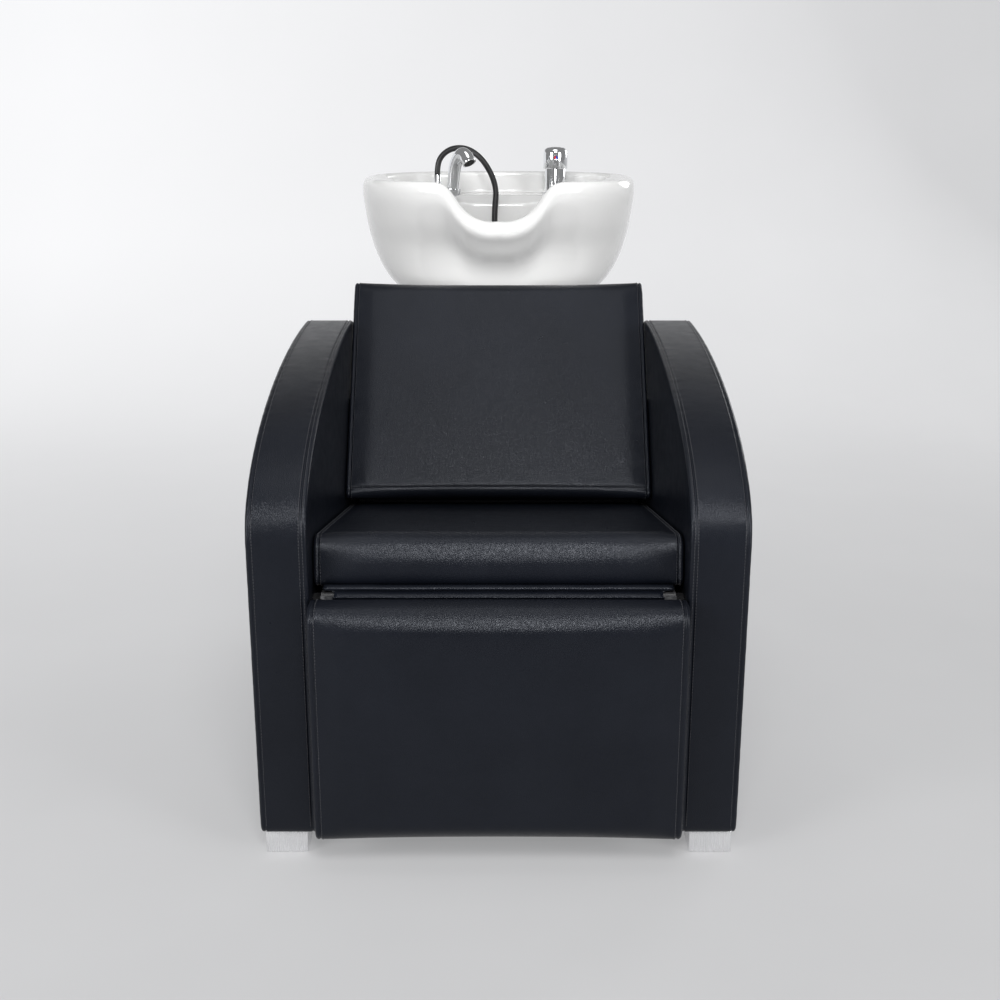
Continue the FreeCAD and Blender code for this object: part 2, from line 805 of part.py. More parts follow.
def build_flap(rail_top):
    """The leather strip that bridges the gap between seat and leg rest."""
    thick = float(S.flap_thickness)
    rear = float(RAIL_FRONT + S.front_rail_thickness / 2)
    high = float(S.hinge_height + S.flap_rise)
    low = float(S.leg_rest_top) + float(S.fit_gap) * 2
    fold = float(HINGE_Y - S.knuckle_radius)
    front = fold - float(S.flap_reach)
    under = [(rear, float(rail_top)), (float(RAIL_FRONT), high), (fold, high),
             (fold - float(S.flap_drop) * 2, low), (front, low)]
    corners = under + [(y, z + thick) for y, z in reversed(under)]
    x = float(LEG_REST_WIDTH / 2 - S.flap_inset)
    wire = Part.makePolygon([Vector(-x, y, z) for y, z in corners + corners[:1]])
    node("bridge_flap", feature("bridge_flap", Part.Face(wire).extrude(Vector(2 * x, 0, 0))))


def build_column():
    half = S.column_width / 2
    wall = S.column_wall
    base = S.base_plate_thickness
    rise = S.column_height - base
    rear = COLUMN_FRONT + S.column_depth
    outer = box("column_outer", (-half, COLUMN_FRONT, base), (S.column_width, S.column_depth, rise))
    hollow = box("column_hollow", (wall - half, COLUMN_FRONT + wall, base),
                 (S.column_width - wall * 2, S.column_depth - wall * 2, rise))
    mouth_width = S.column_width - wall * 2 - S.column_flange * 2
    mouth = box("column_mouth", (-mouth_width / 2, rear - wall * 2, base),
                (mouth_width, wall * 3, rise))
    screw_places = [(S.cover_screw_offset * side, base + rise * share)
                    for side in SIDES.values() for share in SCREW_SHARES]

    def screw_holes(prefix, radius, start, length):
        return [cylinder(f"{prefix}_{index}", (x, start, z), "Y", radius, length)
                for index, (x, z) in enumerate(screw_places)]

    shell_holes = screw_holes("shell_screw_hole", S.cover_screw_radius + S.fit_gap,
                              rear - wall * 2, wall * 3)
    node("column_shell", cut("column_shell", outer, hollow, mouth, *shell_holes))
    cover = box("column_cover_blank", (-half, rear, base), (S.column_width, wall, rise))
    ports = [cylinder("waste_port", (ZERO, rear, S.waste_pipe_height), "Y",
                      S.waste_collar_radius + S.fit_gap, wall)]
    ports += [cylinder(f"{name}_valve_port", (S.valve_offset * side, rear, S.valve_height), "Y",
                       S.valve_collar_radius + S.fit_gap, wall) for name, side in SIDES.items()]
    cover_holes = screw_holes("cover_screw_hole", S.cover_screw_radius + S.fit_gap, rear, wall)
    node("column_rear_cover", cut("column_rear_cover", cover, *ports, *cover_holes))
    shanks = screw_holes("cover_screw_shank", S.cover_screw_radius,
                         rear + wall - S.cover_screw_length, S.cover_screw_length)
    heads = screw_holes("cover_screw_head", S.cover_screw_head, rear + wall,
                        S.cover_screw_head_height)
    node("cover_screws", join("cover_screws", *shanks, *heads))
    plate = box("base_plate_blank", (-S.base_plate_width / 2, BOWL_Y - S.base_plate_depth / 2, ZERO),
                (S.base_plate_width, S.base_plate_depth, base))
    anchors = [cylinder(f"anchor_hole_{name}_{end}",
                        (S.anchor_spacing_x / 2 * side, BOWL_Y + S.anchor_spacing_y / 2 * end, ZERO),
                        "Z", S.anchor_hole_radius, base)
               for name, side in SIDES.items() for end in SIDES.values()]
    node("column_base_plate", cut("column_base_plate", plate, *anchors))


SCREW_SHARES = (0.06, 0.5, 0.94)


def build_tilt_head():
    half = S.column_width / 2
    plate_z = S.column_height
    plate = box("head_plate", (-half, COLUMN_FRONT, plate_z),
                (S.column_width, S.column_depth, S.head_plate_thickness))
    opening = box("head_opening",
                  (-S.head_opening_width / 2,
                   BOWL_Y + S.head_opening_setback - S.head_opening_depth / 2, plate_z),
                  (S.head_opening_width, S.head_opening_depth, S.head_plate_thickness))
    ears, bores, lugs, lug_bores = [], [], [], []
    ear_z = plate_z + S.head_plate_thickness
    lug_far = S.ear_offset - S.lug_gap
    lug_near = lug_far - S.lug_thickness
    bore_radius = S.pivot_radius + S.running_gap
    for name, side in SIDES.items():
        far = S.ear_offset + S.ear_thickness
        x = span(side, S.ear_offset, far)
        ears.append(box(f"{name}_ear", (x, BOWL_Y - S.ear_width / 2, ear_z),
                        (S.ear_thickness, S.ear_width, S.ear_height)))
        bores.append(cylinder(f"{name}_ear_bore", (x, BOWL_Y, TILT_Z), "X", bore_radius,
                              S.ear_thickness))
        lug_x = span(side, lug_near, lug_far)
        lugs.append(box(f"{name}_lug", (lug_x, BOWL_Y - S.lug_radius, TILT_Z),
                        (S.lug_thickness, S.lug_radius * 2, CARRIER_Z - TILT_Z)))
        lugs.append(cylinder(f"{name}_lug_end", (lug_x, BOWL_Y, TILT_Z), "X", S.lug_radius,
                             S.lug_thickness))
        lug_bores.append(cylinder(f"{name}_lug_bore", (lug_x, BOWL_Y, TILT_Z), "X", bore_radius,
                                  S.lug_thickness))
    node("column_head", cut("column_head", join("head_blank", plate, *ears), opening, *bores))
    carrier = box("carrier_plate",
                  (-S.carrier_width / 2, BOWL_Y - S.carrier_depth / 2, CARRIER_Z),
                  (S.carrier_width, S.carrier_depth, S.carrier_thickness))
    clear = cylinder("carrier_drain_hole", (ZERO, DRAIN_Y, CARRIER_Z), "Z",
                     S.backnut_radius + S.fit_gap, S.carrier_thickness)
    node("bowl_carrier", cut("bowl_carrier", join("carrier_blank", carrier, *lugs), clear,
                             *lug_bores))
    pads = [cylinder(f"{name}_pad_{end}",
                     (S.pad_spread_x * side, BOWL_Y + S.pad_spread_y * end,
                      CARRIER_Z + S.carrier_thickness), "Z", S.pad_radius, S.pad_thickness)
            for name, side in SIDES.items() for end in SIDES.values()]
    node("bowl_pads", join("bowl_pads", *pads))
    build_pivots(lug_near)


def build_pivots(inner):
    """Two pivot bolts and the clamp lever on the right one."""
    hub_x = S.column_width / 2 + S.lever_stand_off
    ends = {"left": S.ear_offset + S.ear_thickness, "right": hub_x + S.lever_hub_length}
    bolts = []
    for name, side in SIDES.items():
        head = span(side, inner - S.pivot_head_length, inner)
        shank = span(side, inner, ends[name])
        bolts.append(cylinder(f"{name}_pivot_head", (head, BOWL_Y, TILT_Z), "X",
                              S.pivot_head_radius, S.pivot_head_length))
        bolts.append(cylinder(f"{name}_pivot_shank", (shank, BOWL_Y, TILT_Z), "X",
                              S.pivot_radius, ends[name] - inner))
    nut = cylinder("left_pivot_nut", (-ends["left"] - S.pivot_head_length, BOWL_Y, TILT_Z), "X",
                   S.pivot_head_radius, S.pivot_head_length)
    node("tilt_pivot_bolts", join("tilt_pivot_bolts", nut, *bolts))
    hub = cylinder("lever_hub", (hub_x, BOWL_Y, TILT_Z), "X", S.lever_hub_radius,
                   S.lever_hub_length)
    middle = hub_x + S.lever_hub_length / 2
    rod = cylinder("lever_rod", (middle, BOWL_Y, TILT_Z - S.lever_length), "Z",
                   S.lever_rod_radius, S.lever_length)
    ball = doc.addObject("Part::Sphere", "lever_ball")
    bind(ball, Radius=S.lever_ball_radius)
    put(ball, middle, BOWL_Y, TILT_Z - S.lever_length)
    bore = cylinder("lever_bore", (hub_x, BOWL_Y, TILT_Z), "X", S.pivot_radius + S.running_gap,
                    S.lever_hub_length)
    node("tilt_lock_lever", cut("tilt_lock_lever", join("lever_blank", hub, rod, ball), bore))


PLAN_SQUARENESS = 2.5
PROFILE_SQUARENESS = 2.8
PROFILE_HEIGHT_SHARES = (0.03, 0.08, 0.16, 0.27, 0.4, 0.54, 0.68, 0.8)
UNDERCUT_SHARE = 0.2
UNDERCUT_TURN_SHARE = 0.9
UNDERCUT_PEAK_SHARE = 0.48
UNDERCUT_SPREAD_SHARE = 0.36
LEAD_ANGLES = (-18, -12, -6)
SECTION_ANGLES = (0, 6, 12, 18, 24, 30, 36, 44, 54, 66, 80, 95, 110, 125, 140, 155, 168, 180)
NECK_SQUARENESS = 1.9
BASIN_HEIGHT_SHARES = (0, 0.03, 0.1, 0.24, 0.45, 0.7, 1)
BASIN_SIZE_SHARES = (0.45, 0.62, 0.77, 0.875, 0.945, 0.98, 1)
RIM_OUT_SHARES = (0, 0.18, 0.62, 1.15)
RIM_DOWN_SHARES = (1, 0.36, 0, 0.2)


def squared_oval(angle, half_x, half_y, power):
    """A point of a squared oval; the angle runs from the front (-Y) towards +X."""
    across, along = math.sin(angle), -math.cos(angle)
    reach = (abs(across) / half_x) ** power + (abs(along) / half_y) ** power
    size = reach ** (-1 / power)
    return across * size, along * size


def neck_share(x, y):
    """1 in the middle of the neck notch and 0 beyond its shoulders."""
    near, far = float(S.neck_flat_half_width), float(S.neck_half_width)
    out = min(max((abs(x) - near) / (far - near), 0), 1) if y < 0 else 1
    return 1 - (out * out * (3 - 2 * out)) ** NECK_SQUARENESS


def rim_height(x, y):
    """The rim is level but dips between the front shoulders to take the neck."""
    return float(BOWL_RIM) - neck_share(x, y) * float(S.neck_drop)


def rim_plan(angle):
    """A point of the rim's plan, measured from the drain's axis."""
    x, y = squared_oval(math.radians(angle), float(S.bowl_width) / 2, float(S.bowl_length) / 2,
                        PLAN_SQUARENESS)
    return x, y + float(BOWL_Y - DRAIN_Y)


def outer_radius(angle, reach, share):
    """How far the outer form stands from the drain's axis at a share of its height."""
    front = max(math.cos(math.radians(angle) * UNDERCUT_TURN_SHARE), 0) ** 2
    swell = (1 - (1 - share) ** PROFILE_SQUARENESS) ** (1 / PROFILE_SQUARENESS)
    bump = math.exp(-((share - UNDERCUT_PEAK_SHARE) / UNDERCUT_SPREAD_SHARE) ** 2 * 2)
    return reach * swell * (1 - UNDERCUT_SHARE * front * bump)


def bowl_section(angle):
    """A closed half section of the bowl's outer form, standing on the drain's axis."""
    x, y = rim_plan(angle)
    reach = math.hypot(x, y)
    base, top = float(BOWL_BASE), rim_height(x, y)
    roll = float(S.rim_roll) + neck_share(x, y) * float(S.neck_roll - S.rim_roll)
    core = float(S.drain_axis_radius)

    def point(radius, height):
        share = radius / reach
        return Vector(x * share, float(DRAIN_Y) + y * share, height)

    curve = []
    for share in PROFILE_HEIGHT_SHARES:
        up = (share - PROFILE_HEIGHT_SHARES[0]) / (1 - PROFILE_HEIGHT_SHARES[0])
        curve.append(point(outer_radius(angle, reach, share), base + up * (top - base)))
    for out, down in zip(RIM_OUT_SHARES, RIM_DOWN_SHARES):
        curve.append(point(reach - out * roll, top - down * roll))
    spline = Part.BSplineCurve()
    spline.interpolate(curve)
    foot = point(core, curve[0].z)
    lid = point(core, (base + float(BOWL_RIM)) / 2)
    edges = [Part.LineSegment(foot, curve[0]).toShape(), spline.toShape(),
             Part.LineSegment(curve[-1], lid).toShape(), Part.LineSegment(lid, foot).toShape()]
    return Part.Wire(edges)


def oval_face(half_x, half_y, middle_y, height):
    """A level squared oval."""
    spline = Part.BSplineCurve()
    ring = []
    for step in range(OVAL_STEPS):
        x, y = squared_oval(2 * math.pi * step / OVAL_STEPS, half_x, half_y, PLAN_SQUARENESS)
        ring.append(Vector(x, middle_y + y, height))
    spline.interpolate(ring, True)
    return Part.Wire([spline.toShape()])


OVAL_STEPS = 28


def oval_reach(across, along, half_x, half_y, middle):
    """How far a squared oval lies from the drain's axis in one direction."""
    near, far = 0, half_x + half_y
    for step in range(BISECTIONS):
        reach = (near + far) / 2
        inside = ((abs(across) * reach / half_x) ** PLAN_SQUARENESS
                  + (abs(along * reach - middle) / half_y) ** PLAN_SQUARENESS) < 1
        near, far = (reach, far) if inside else (near, reach)
    return near


def basin_ring(size, middle, height):
    """A level ring of the basin, kept a wall's thickness inside the outer form."""
    half_x, half_y = size * float(S.basin_width) / 2, size * float(S.basin_length) / 2
    base, first = float(BOWL_BASE), PROFILE_HEIGHT_SHARES[0]
    ring = []
    for angle in SECTION_ANGLES:
        x, y = rim_plan(angle)
        reach = math.hypot(x, y)
        up = min((height - base) / (rim_height(x, y) - base), 1)
        limit = outer_radius(angle, reach, first + up * (1 - first)) - float(S.bowl_wall)
        free = oval_reach(x / reach, y / reach, half_x, half_y, middle)
        radius = (limit ** -BASIN_BLEND + free ** -BASIN_BLEND) ** (-1 / BASIN_BLEND)
        ring.append((x * radius / reach, y * radius / reach))
    ring += [(-x, y) for x, y in reversed(ring[1:-1])]
    spline = Part.BSplineCurve()
    spline.interpolate([Vector(x, float(DRAIN_Y) + y, height) for x, y in ring], True)
    return Part.Wire([spline.toShape()])


BISECTIONS = 40
BASIN_BLEND = 18


def build_bowl():
    half = Part.makeLoft([bowl_section(angle) for angle in LEAD_ANGLES + SECTION_ANGLES], True, False)
    size = float(BOWL_RIM + S.bowl_length)
    half = half.common(Part.makeBox(size, size * 2, size, Vector(0, -size, 0)))
    whole = half.fuse(half.mirror(Vector(0, 0, 0), Vector(1, 0, 0)))
    low, high = float(FLOOR_Z), float(BOWL_RIM + S.rim_roll)
    basin_y = float(BOWL_FRONT + S.basin_lip + S.basin_length / 2)
    rings = []
    for up, size in zip(BASIN_HEIGHT_SHARES, BASIN_SIZE_SHARES):
        rings.append(basin_ring(size, basin_y - float(DRAIN_Y), low + up * (high - low)))
    basin = Part.makeLoft(rings, True, False)
    rear = float(BOWL_FRONT + S.bowl_length)
    width = float(S.bowl_width)
    deck = Part.Face(oval_face(width / 2 - float(S.deck_wall),
                               float(S.bowl_length) / 2 - float(S.deck_wall),
                               float(BOWL_Y), float(DECK_Z)))
    deck = deck.extrude(Vector(0, 0, high - float(DECK_Z)))
    deck_front = rear - float(S.deck_wall + S.deck_depth)
    deck = deck.common(Part.makeBox(width, float(S.bowl_length), high,
                                    Vector(-width / 2, deck_front, 0)))
    pocket = plumbing_pocket(half, rear)
    shell = whole.cut(basin).cut(deck).cut(pocket)
    for x, y, radius in (
            (ZERO, DRAIN_Y, S.drain_hole_radius),
            (S.mixer_offset, BOWL_FRONT + S.mixer_setback,
             S.mixer_shank_radius + S.mixer_shank_gap),
            (-S.outlet_offset, BOWL_FRONT + S.outlet_setback,
             S.outlet_shank_radius + S.mixer_shank_gap),
            (-S.handset_offset, BOWL_FRONT + S.holder_setback,
             S.holder_screw_radius + S.fit_gap)):
        shell = shell.cut(Part.makeCylinder(float(radius), high, Vector(float(x), float(y), 0)))
    recess_z = low - float(S.flange_recess)
    shell = shell.cut(Part.makeCylinder(float(S.flange_radius + S.fit_gap), float(S.flange_radius),
                                        Vector(0, float(DRAIN_Y), recess_z)))
    node("bowl", feature("bowl", shell.Solids[0]))
    print(f"bowl: {len(shell.Solids)} solid, volume {shell.Volume:.0f}")


def plumbing_pocket(half, rear):
    """The hollow under the tap deck, open at the bottom, that takes the hoses."""
    middle = float(DRAIN_Y)
    share = 1 - float(S.bowl_wall) / (rear - middle)
    squeeze = FreeCAD.Matrix()
    squeeze.scale(share, share, 1)
    squeeze.A24 = middle * (1 - share)
    inner = half.transformGeometry(squeeze)
    inner = inner.fuse(inner.mirror(Vector(0, 0, 0), Vector(1, 0, 0)))
    top = float(DECK_Z - S.deck_thickness)
    front = rear - float(S.bowl_wall + S.pocket_depth)
    width, depth = float(S.pocket_width), float(S.bowl_length)
    room = Part.makeBox(width, depth, top, Vector(-width / 2, front, 0))
    mouth_width, mouth_depth = float(S.pocket_mouth_width), float(S.pocket_mouth_depth)
    mouth_top = (float(BOWL_BASE) + float(FLOOR_Z)) / 2 + mouth_depth / 2
    mouth = Part.makeBox(mouth_width, mouth_depth, mouth_top,
                         Vector(-mouth_width / 2, front - mouth_depth / 4, 0))
    return inner.common(room).fuse(mouth)


def build_drain():
    floor = FLOOR_Z
    bore, seat = S.drain_bore_radius, S.strainer_radius + S.running_gap
    low = S.flange_recess
    top = S.flange_thickness - low
    tail = S.drain_tail_radius
    flange = [(bore, -S.drain_tail_drop), (tail, -S.drain_tail_drop), (tail, -low),
              (S.flange_radius, -low), (S.flange_radius, top - S.flange_recess),
              (S.flange_radius - S.flange_recess, top), (seat, top),
              (seat, top - S.drain_seat_depth), (bore, top - S.drain_seat_depth)]
    node("drain_flange", revolved("drain_flange", flange, ZERO, DRAIN_Y, floor))
    nut = [(tail + S.running_gap, -S.backnut_height), (S.backnut_radius, -S.backnut_height),
           (S.backnut_radius, ZERO), (tail + S.running_gap, ZERO)]
    node("drain_backnut", revolved("drain_backnut", nut, ZERO, DRAIN_Y, BOWL_BASE))
    thick = S.strainer_rim_thickness
    rest = top - S.drain_seat_depth
    disc = [(ZERO, ZERO), (S.strainer_radius, ZERO), (S.strainer_radius, thick),
            (S.strainer_knob_radius, thick), (S.strainer_knob_radius, thick + S.strainer_knob_height),
            (ZERO, thick + S.strainer_knob_height)]
    blank = revolved("strainer_blank", disc, ZERO, DRAIN_Y, floor + rest)
    holes = []
    for ring, count in zip(STRAINER_RING_SHARES, STRAINER_RING_COUNTS):
        for step in range(count):
            angle = 2 * math.pi * step / count
            reach = S.strainer_radius * ring
            holes.append(cylinder(f"strainer_hole_{count}_{step}",
                                  (reach * math.cos(angle), DRAIN_Y + reach * math.sin(angle),
                                   floor + rest), "Z", S.strainer_hole_radius, thick))
    node("hair_strainer", cut("hair_strainer", blank, *holes))


STRAINER_RING_SHARES = (0.38, 0.62, 0.84)
STRAINER_RING_COUNTS = (6, 10, 14)
MIXER_X = S.mixer_offset
MIXER_Y = BOWL_FRONT + S.mixer_setback
PIVOT_Z = DECK_Z + S.mixer_body_height + S.stem_rise


def build_mixer():
    body_top = S.mixer_body_height
    base = S.mixer_base_height
    well = S.stem_radius + S.running_gap
    shank = S.mixer_shank_radius
    section = [(ZERO, -S.mixer_shank_length), (shank, -S.mixer_shank_length), (shank, ZERO),
               (S.mixer_base_radius, ZERO), (S.mixer_base_radius, base),
               (S.mixer_body_radius, base + base / 2), (S.mixer_body_radius, body_top),
               (well, body_top), (well, body_top - S.stem_depth), (ZERO, body_top - S.stem_depth)]
    node("mixer_body", revolved("mixer_body", section, MIXER_X, MIXER_Y, DECK_Z))
    nut_in = shank + S.running_gap
    nut = [(nut_in, -S.mixer_nut_height), (S.mixer_nut_radius, -S.mixer_nut_height),
           (S.mixer_nut_radius, ZERO), (nut_in, ZERO)]
    mixer_nut = revolved("mixer_nut", nut, MIXER_X, MIXER_Y, DECK_Z - S.deck_thickness)
    rod = cylinder("stem_rod", (MIXER_X, MIXER_Y, DECK_Z + body_top - S.stem_depth), "Z",
                   S.stem_radius, S.stem_depth + S.stem_rise)
    pin_half = S.handle_radius - S.handle_wall
    pin = cylinder("stem_pin", (MIXER_X - pin_half, MIXER_Y, PIVOT_Z), "X", S.handle_pin_radius,
                   pin_half * 2)
    node("mixer_stem", join("mixer_stem", rod, pin))
    build_handle(pin_half)
    return mixer_nut


def build_handle(pin_half):
    """A hood-shaped handle that turns with the stem and tips on its cross pin."""
    skirt, top = S.handle_skirt_height, S.handle_top_height
    inner, outer = S.handle_radius - S.handle_wall, S.handle_radius
    dome = S.handle_dome
    hood = [(ZERO, top - S.handle_roof), (inner - dome / 2, top - S.handle_roof),
            (inner, top - S.handle_roof - dome / 2), (inner, skirt), (outer, skirt),
            (outer, top - dome)]
    for share_out, share_up in DOME_SHARES:
        hood.append((outer * share_out, top - dome * share_up))
    hood.append((ZERO, top))
    shell = revolved("handle_hood", hood, MIXER_X, MIXER_Y, DECK_Z)
    boss_radius = S.handle_pin_radius * 1.5
    parts = [shell]
    for name, side in SIDES.items():
        near = pin_half - S.handle_boss_length
        x = MIXER_X + span(side, near, pin_half + S.handle_wall / 2)
        parts.append(cylinder(f"{name}_handle_boss", (x, MIXER_Y, PIVOT_Z), "X", boss_radius,
                              S.handle_boss_length + S.handle_wall / 2))
    lever_z = DECK_Z + top - S.handle_roof - S.lever_drop
    parts.append(box("handle_lever", (MIXER_X - S.lever_width / 2, MIXER_Y + inner, lever_z),
                     (S.lever_width, S.lever_reach - inner, S.lever_depth)))
    bore = cylinder("handle_bore", (MIXER_X - pin_half - S.running_gap, MIXER_Y, PIVOT_Z), "X",
                    S.handle_pin_radius + S.running_gap, (pin_half + S.running_gap) * 2)
    mark_z = DECK_Z + S.handle_skirt_height + S.mark_height
    socket = cylinder("mark_socket", (MIXER_X, MIXER_Y - outer, mark_z), "Y", S.mark_radius,
                      S.mark_depth)
    node("mixer_handle", cut("mixer_handle", join("handle_blank", *parts), bore, socket))
    face = S.handle_radius
    mark = cylinder("mark_blank", (MIXER_X, MIXER_Y - outer, mark_z), "Y",
                    S.mark_radius - S.running_gap, S.mark_depth)
    rounding = cylinder("mark_rounding", (MIXER_X, MIXER_Y, mark_z - S.mark_radius), "Z", face,
                        S.mark_radius * 2)
    trimmed = doc.addObject("Part::Common", "temperature_mark")
    trimmed.Base = mark
    trimmed.Tool = rounding
    node("temperature_mark", trimmed)


DOME_SHARES = ((0.97, 0.72), (0.89, 0.44), (0.74, 0.21), (0.52, 0.07), (0.27, 0.01))
OUTLET_X = -S.outlet_offset
OUTLET_Y = BOWL_FRONT + S.outlet_setback
HANDSET_X = -S.handset_offset
HANDSET_Y = BOWL_FRONT + S.handset_setback


def handset_placement():
    turn = Rotation(Vector(0, 0, 1), float(S.handset_yaw) - 90)
    tip = Rotation(Vector(0, 1, 0), float(S.handset_lean))
    base = Vector(float(HANDSET_X), float(HANDSET_Y), float(S.handset_tail_height))
    return Placement(base, turn.multiply(tip))


def handset_stations():
    """Centre, heading and radius of the sections along the handset, in its own plane."""
    grip, rise, reach = (float(S.handset_grip_length), float(S.handset_bend_rise),
                         float(S.handset_reach))
    tail, fat = float(S.handset_tail_radius), float(S.handset_grip_radius)
    head = float(S.handset_head_radius)
    stations = []
    for share, width in ((0, tail), (0.34, tail + (fat - tail) * 0.45), (0.7, fat), (1, fat)):
        stations.append((Vector(0, 0, share * grip), Vector(0, 0, 1), width))
    for step in range(1, BEND_STEPS + 1):
        angle = math.radians(BEND_TURN) * step / BEND_STEPS
        spot = Vector(reach / 2 * (1 - math.cos(angle)), 0, grip + rise * math.sin(angle))
        heading = Vector(reach / 2 * math.sin(angle), 0, rise * math.cos(angle))
        stations.append((spot, heading, fat + (head - fat) * step / BEND_STEPS))
    return stations


BEND_STEPS = 6
BEND_TURN = 118
SPRAY_RING_SHARES = (0, 0.36, 0.72)
SPRAY_RING_COUNTS = (1, 6, 12)


def build_handset():
    stations = handset_stations()
    rings = [Part.Wire([Part.Circle(spot, heading, width).toShape()])
             for spot, heading, width in stations]
    grip = Part.makeLoft(rings, True, False)
    end, heading, _ = stations[-1]
    heading = Vector(heading).normalize()
    lap = float(S.nozzle_lap)
    nozzle = Part.makeCylinder(float(S.nozzle_radius), float(S.nozzle_length) + lap,
                               end - heading * lap, heading)
    face_at = end + heading * float(S.nozzle_length - S.spray_face_thickness)
    pocket = Part.makeCylinder(float(S.spray_face_radius + S.running_gap),
                               float(S.spray_face_thickness), face_at, heading)
    body = grip.fuse(nozzle).cut(pocket)
    place = handset_placement()
    node("handset_body", feature("handset_body", body.removeSplitter().Solids[0], place))
    plate = Part.makeCylinder(float(S.spray_face_radius), float(S.spray_face_thickness), face_at,
                              heading)
    side = heading.cross(Vector(0, 1, 0))
    for share, count in zip(SPRAY_RING_SHARES, SPRAY_RING_COUNTS):
        for step in range(count):
            angle = 2 * math.pi * step / count
            away = side * math.cos(angle) + Vector(0, 1, 0) * math.sin(angle)
            spot = face_at + away * (share * float(S.spray_face_radius))
            plate = plate.cut(Part.makeCylinder(float(S.spray_hole_radius),
                                                float(S.spray_face_thickness), spot, heading))
    node("spray_face", feature("spray_face", plate, place))
    build_holder(grip, place)


def build_holder(grip, place):
    """A post on the deck with an arm to a ring that the handset hangs in."""
    tail, fat = float(S.handset_tail_radius), float(S.handset_grip_radius)
    outer = fat + float(S.holder_ring_wall)
    low = float(S.holder_ring_rise)
    ring = Part.makeCylinder(outer, float(S.holder_ring_height), Vector(0, 0, low))
    gap = float(S.fit_gap)
    widen = FreeCAD.Matrix()
    share = 1 + gap / tail
    widen.scale(share, share, 1)
    clearance = grip.transformGeometry(widen)
    ring.Placement = place
    clearance.Placement = place.multiply(clearance.Placement)
    middle = place.multVec(Vector(0, 0, low + float(S.holder_ring_height) / 2))
    post_y = float(BOWL_FRONT + S.holder_setback)
    deck = float(DECK_Z)
    post = Part.makeCylinder(float(S.holder_post_radius), float(S.holder_post_height),
                             Vector(float(HANDSET_X), post_y, deck))
    screw = Part.makeCylinder(float(S.holder_screw_radius), float(S.holder_screw_length),
                              Vector(float(HANDSET_X), post_y, deck - float(S.holder_screw_length)))
    thick, high = float(S.holder_arm_width), float(S.holder_arm_height)
    arm = Part.makeBox(thick, post_y - middle.y, high,
                       Vector(float(HANDSET_X) - thick / 2, middle.y, middle.z - high / 2))
    whole = ring.fuse([post, screw, arm]).cut(clearance)
    biggest = max(whole.Solids, key=lambda solid: solid.Volume)
    node("handset_holder", feature("handset_holder", biggest))


def build_outlet(mixer_nut):
    shank = S.outlet_shank_radius
    section = [(ZERO, -S.outlet_shank_length), (shank, -S.outlet_shank_length), (shank, ZERO),
               (S.outlet_radius * 1.5, ZERO), (S.outlet_radius * 1.5, S.mixer_base_height),
               (S.outlet_radius, S.mixer_base_height + S.mixer_base_height / 2),
               (S.outlet_radius, S.outlet_height), (S.ferrule_radius, S.outlet_height),
               (S.ferrule_radius, S.outlet_height + S.ferrule_height),
               (ZERO, S.outlet_height + S.ferrule_height)]
    node("hose_outlet", revolved("hose_outlet", section, OUTLET_X, OUTLET_Y, DECK_Z))
    nut_in = shank + S.running_gap
    nut = [(nut_in, -S.outlet_nut_height), (S.outlet_nut_radius, -S.outlet_nut_height),
           (S.outlet_nut_radius, ZERO), (nut_in, ZERO)]
    outlet_nut = revolved("outlet_nut", nut, OUTLET_X, OUTLET_Y, DECK_Z - S.deck_thickness)
    node("deck_nuts", join("deck_nuts", mixer_nut, outlet_nut))


def build_spray_hose():
    """From the outlet over an arch, down into the basin, round its floor and up to the handset."""
    start = (float(OUTLET_X), float(OUTLET_Y),
             float(DECK_Z + S.outlet_height + S.ferrule_height))
    width, length = float(S.basin_width), float(S.basin_length)
    height = float(BOWL_RIM - FLOOR_Z)
    origin = (0, float(DRAIN_Y), float(FLOOR_Z))
    points = [start, (start[0], start[1], start[2] + SPRAY_RISE_SHARE * float(S.ferrule_height))]
    for across, along, up in SPRAY_HOSE_SHARES:
        points.append((origin[0] + across * width, origin[1] + along * length,
                       origin[2] + up * height))
    place = handset_placement()
    points.append(tuple(place.multVec(Vector(0, 0, -float(S.handset_grip_length) / 2))))
    points.append(tuple(place.Base))
    hose("spray_hose", points, S.hose_radius)


SPRAY_RISE_SHARE = 1.4
SPRAY_HOSE_SHARES = (
    (-0.2420, 0.6108, 1.1668),
    (-0.1967, 0.6080, 1.2192),
    (-0.1358, 0.5966, 1.2166),
    (-0.0761, 0.5625, 1.1354),
    (-0.0309, 0.5085, 0.9956),
    (-0.0062, 0.4290, 0.8515),
    (0.0000, 0.3665, 0.6900),
    (0.0165, 0.3097, 0.4891),
    (0.0535, 0.2188, 0.2707),
    (0.0926, 0.0852, 0.1092),
    (0.1049, -0.0568, 0.0328),
    (0.0782, -0.1960, 0.0314),
    (0.0041, -0.2898, 0.0332),
    (-0.0905, -0.3011, 0.0341),
    (-0.1728, -0.2301, 0.0323),
    (-0.2160, -0.0994, 0.0393),
    (-0.2202, 0.0483, 0.1092),
    (-0.2119, 0.1847, 0.2882),
)


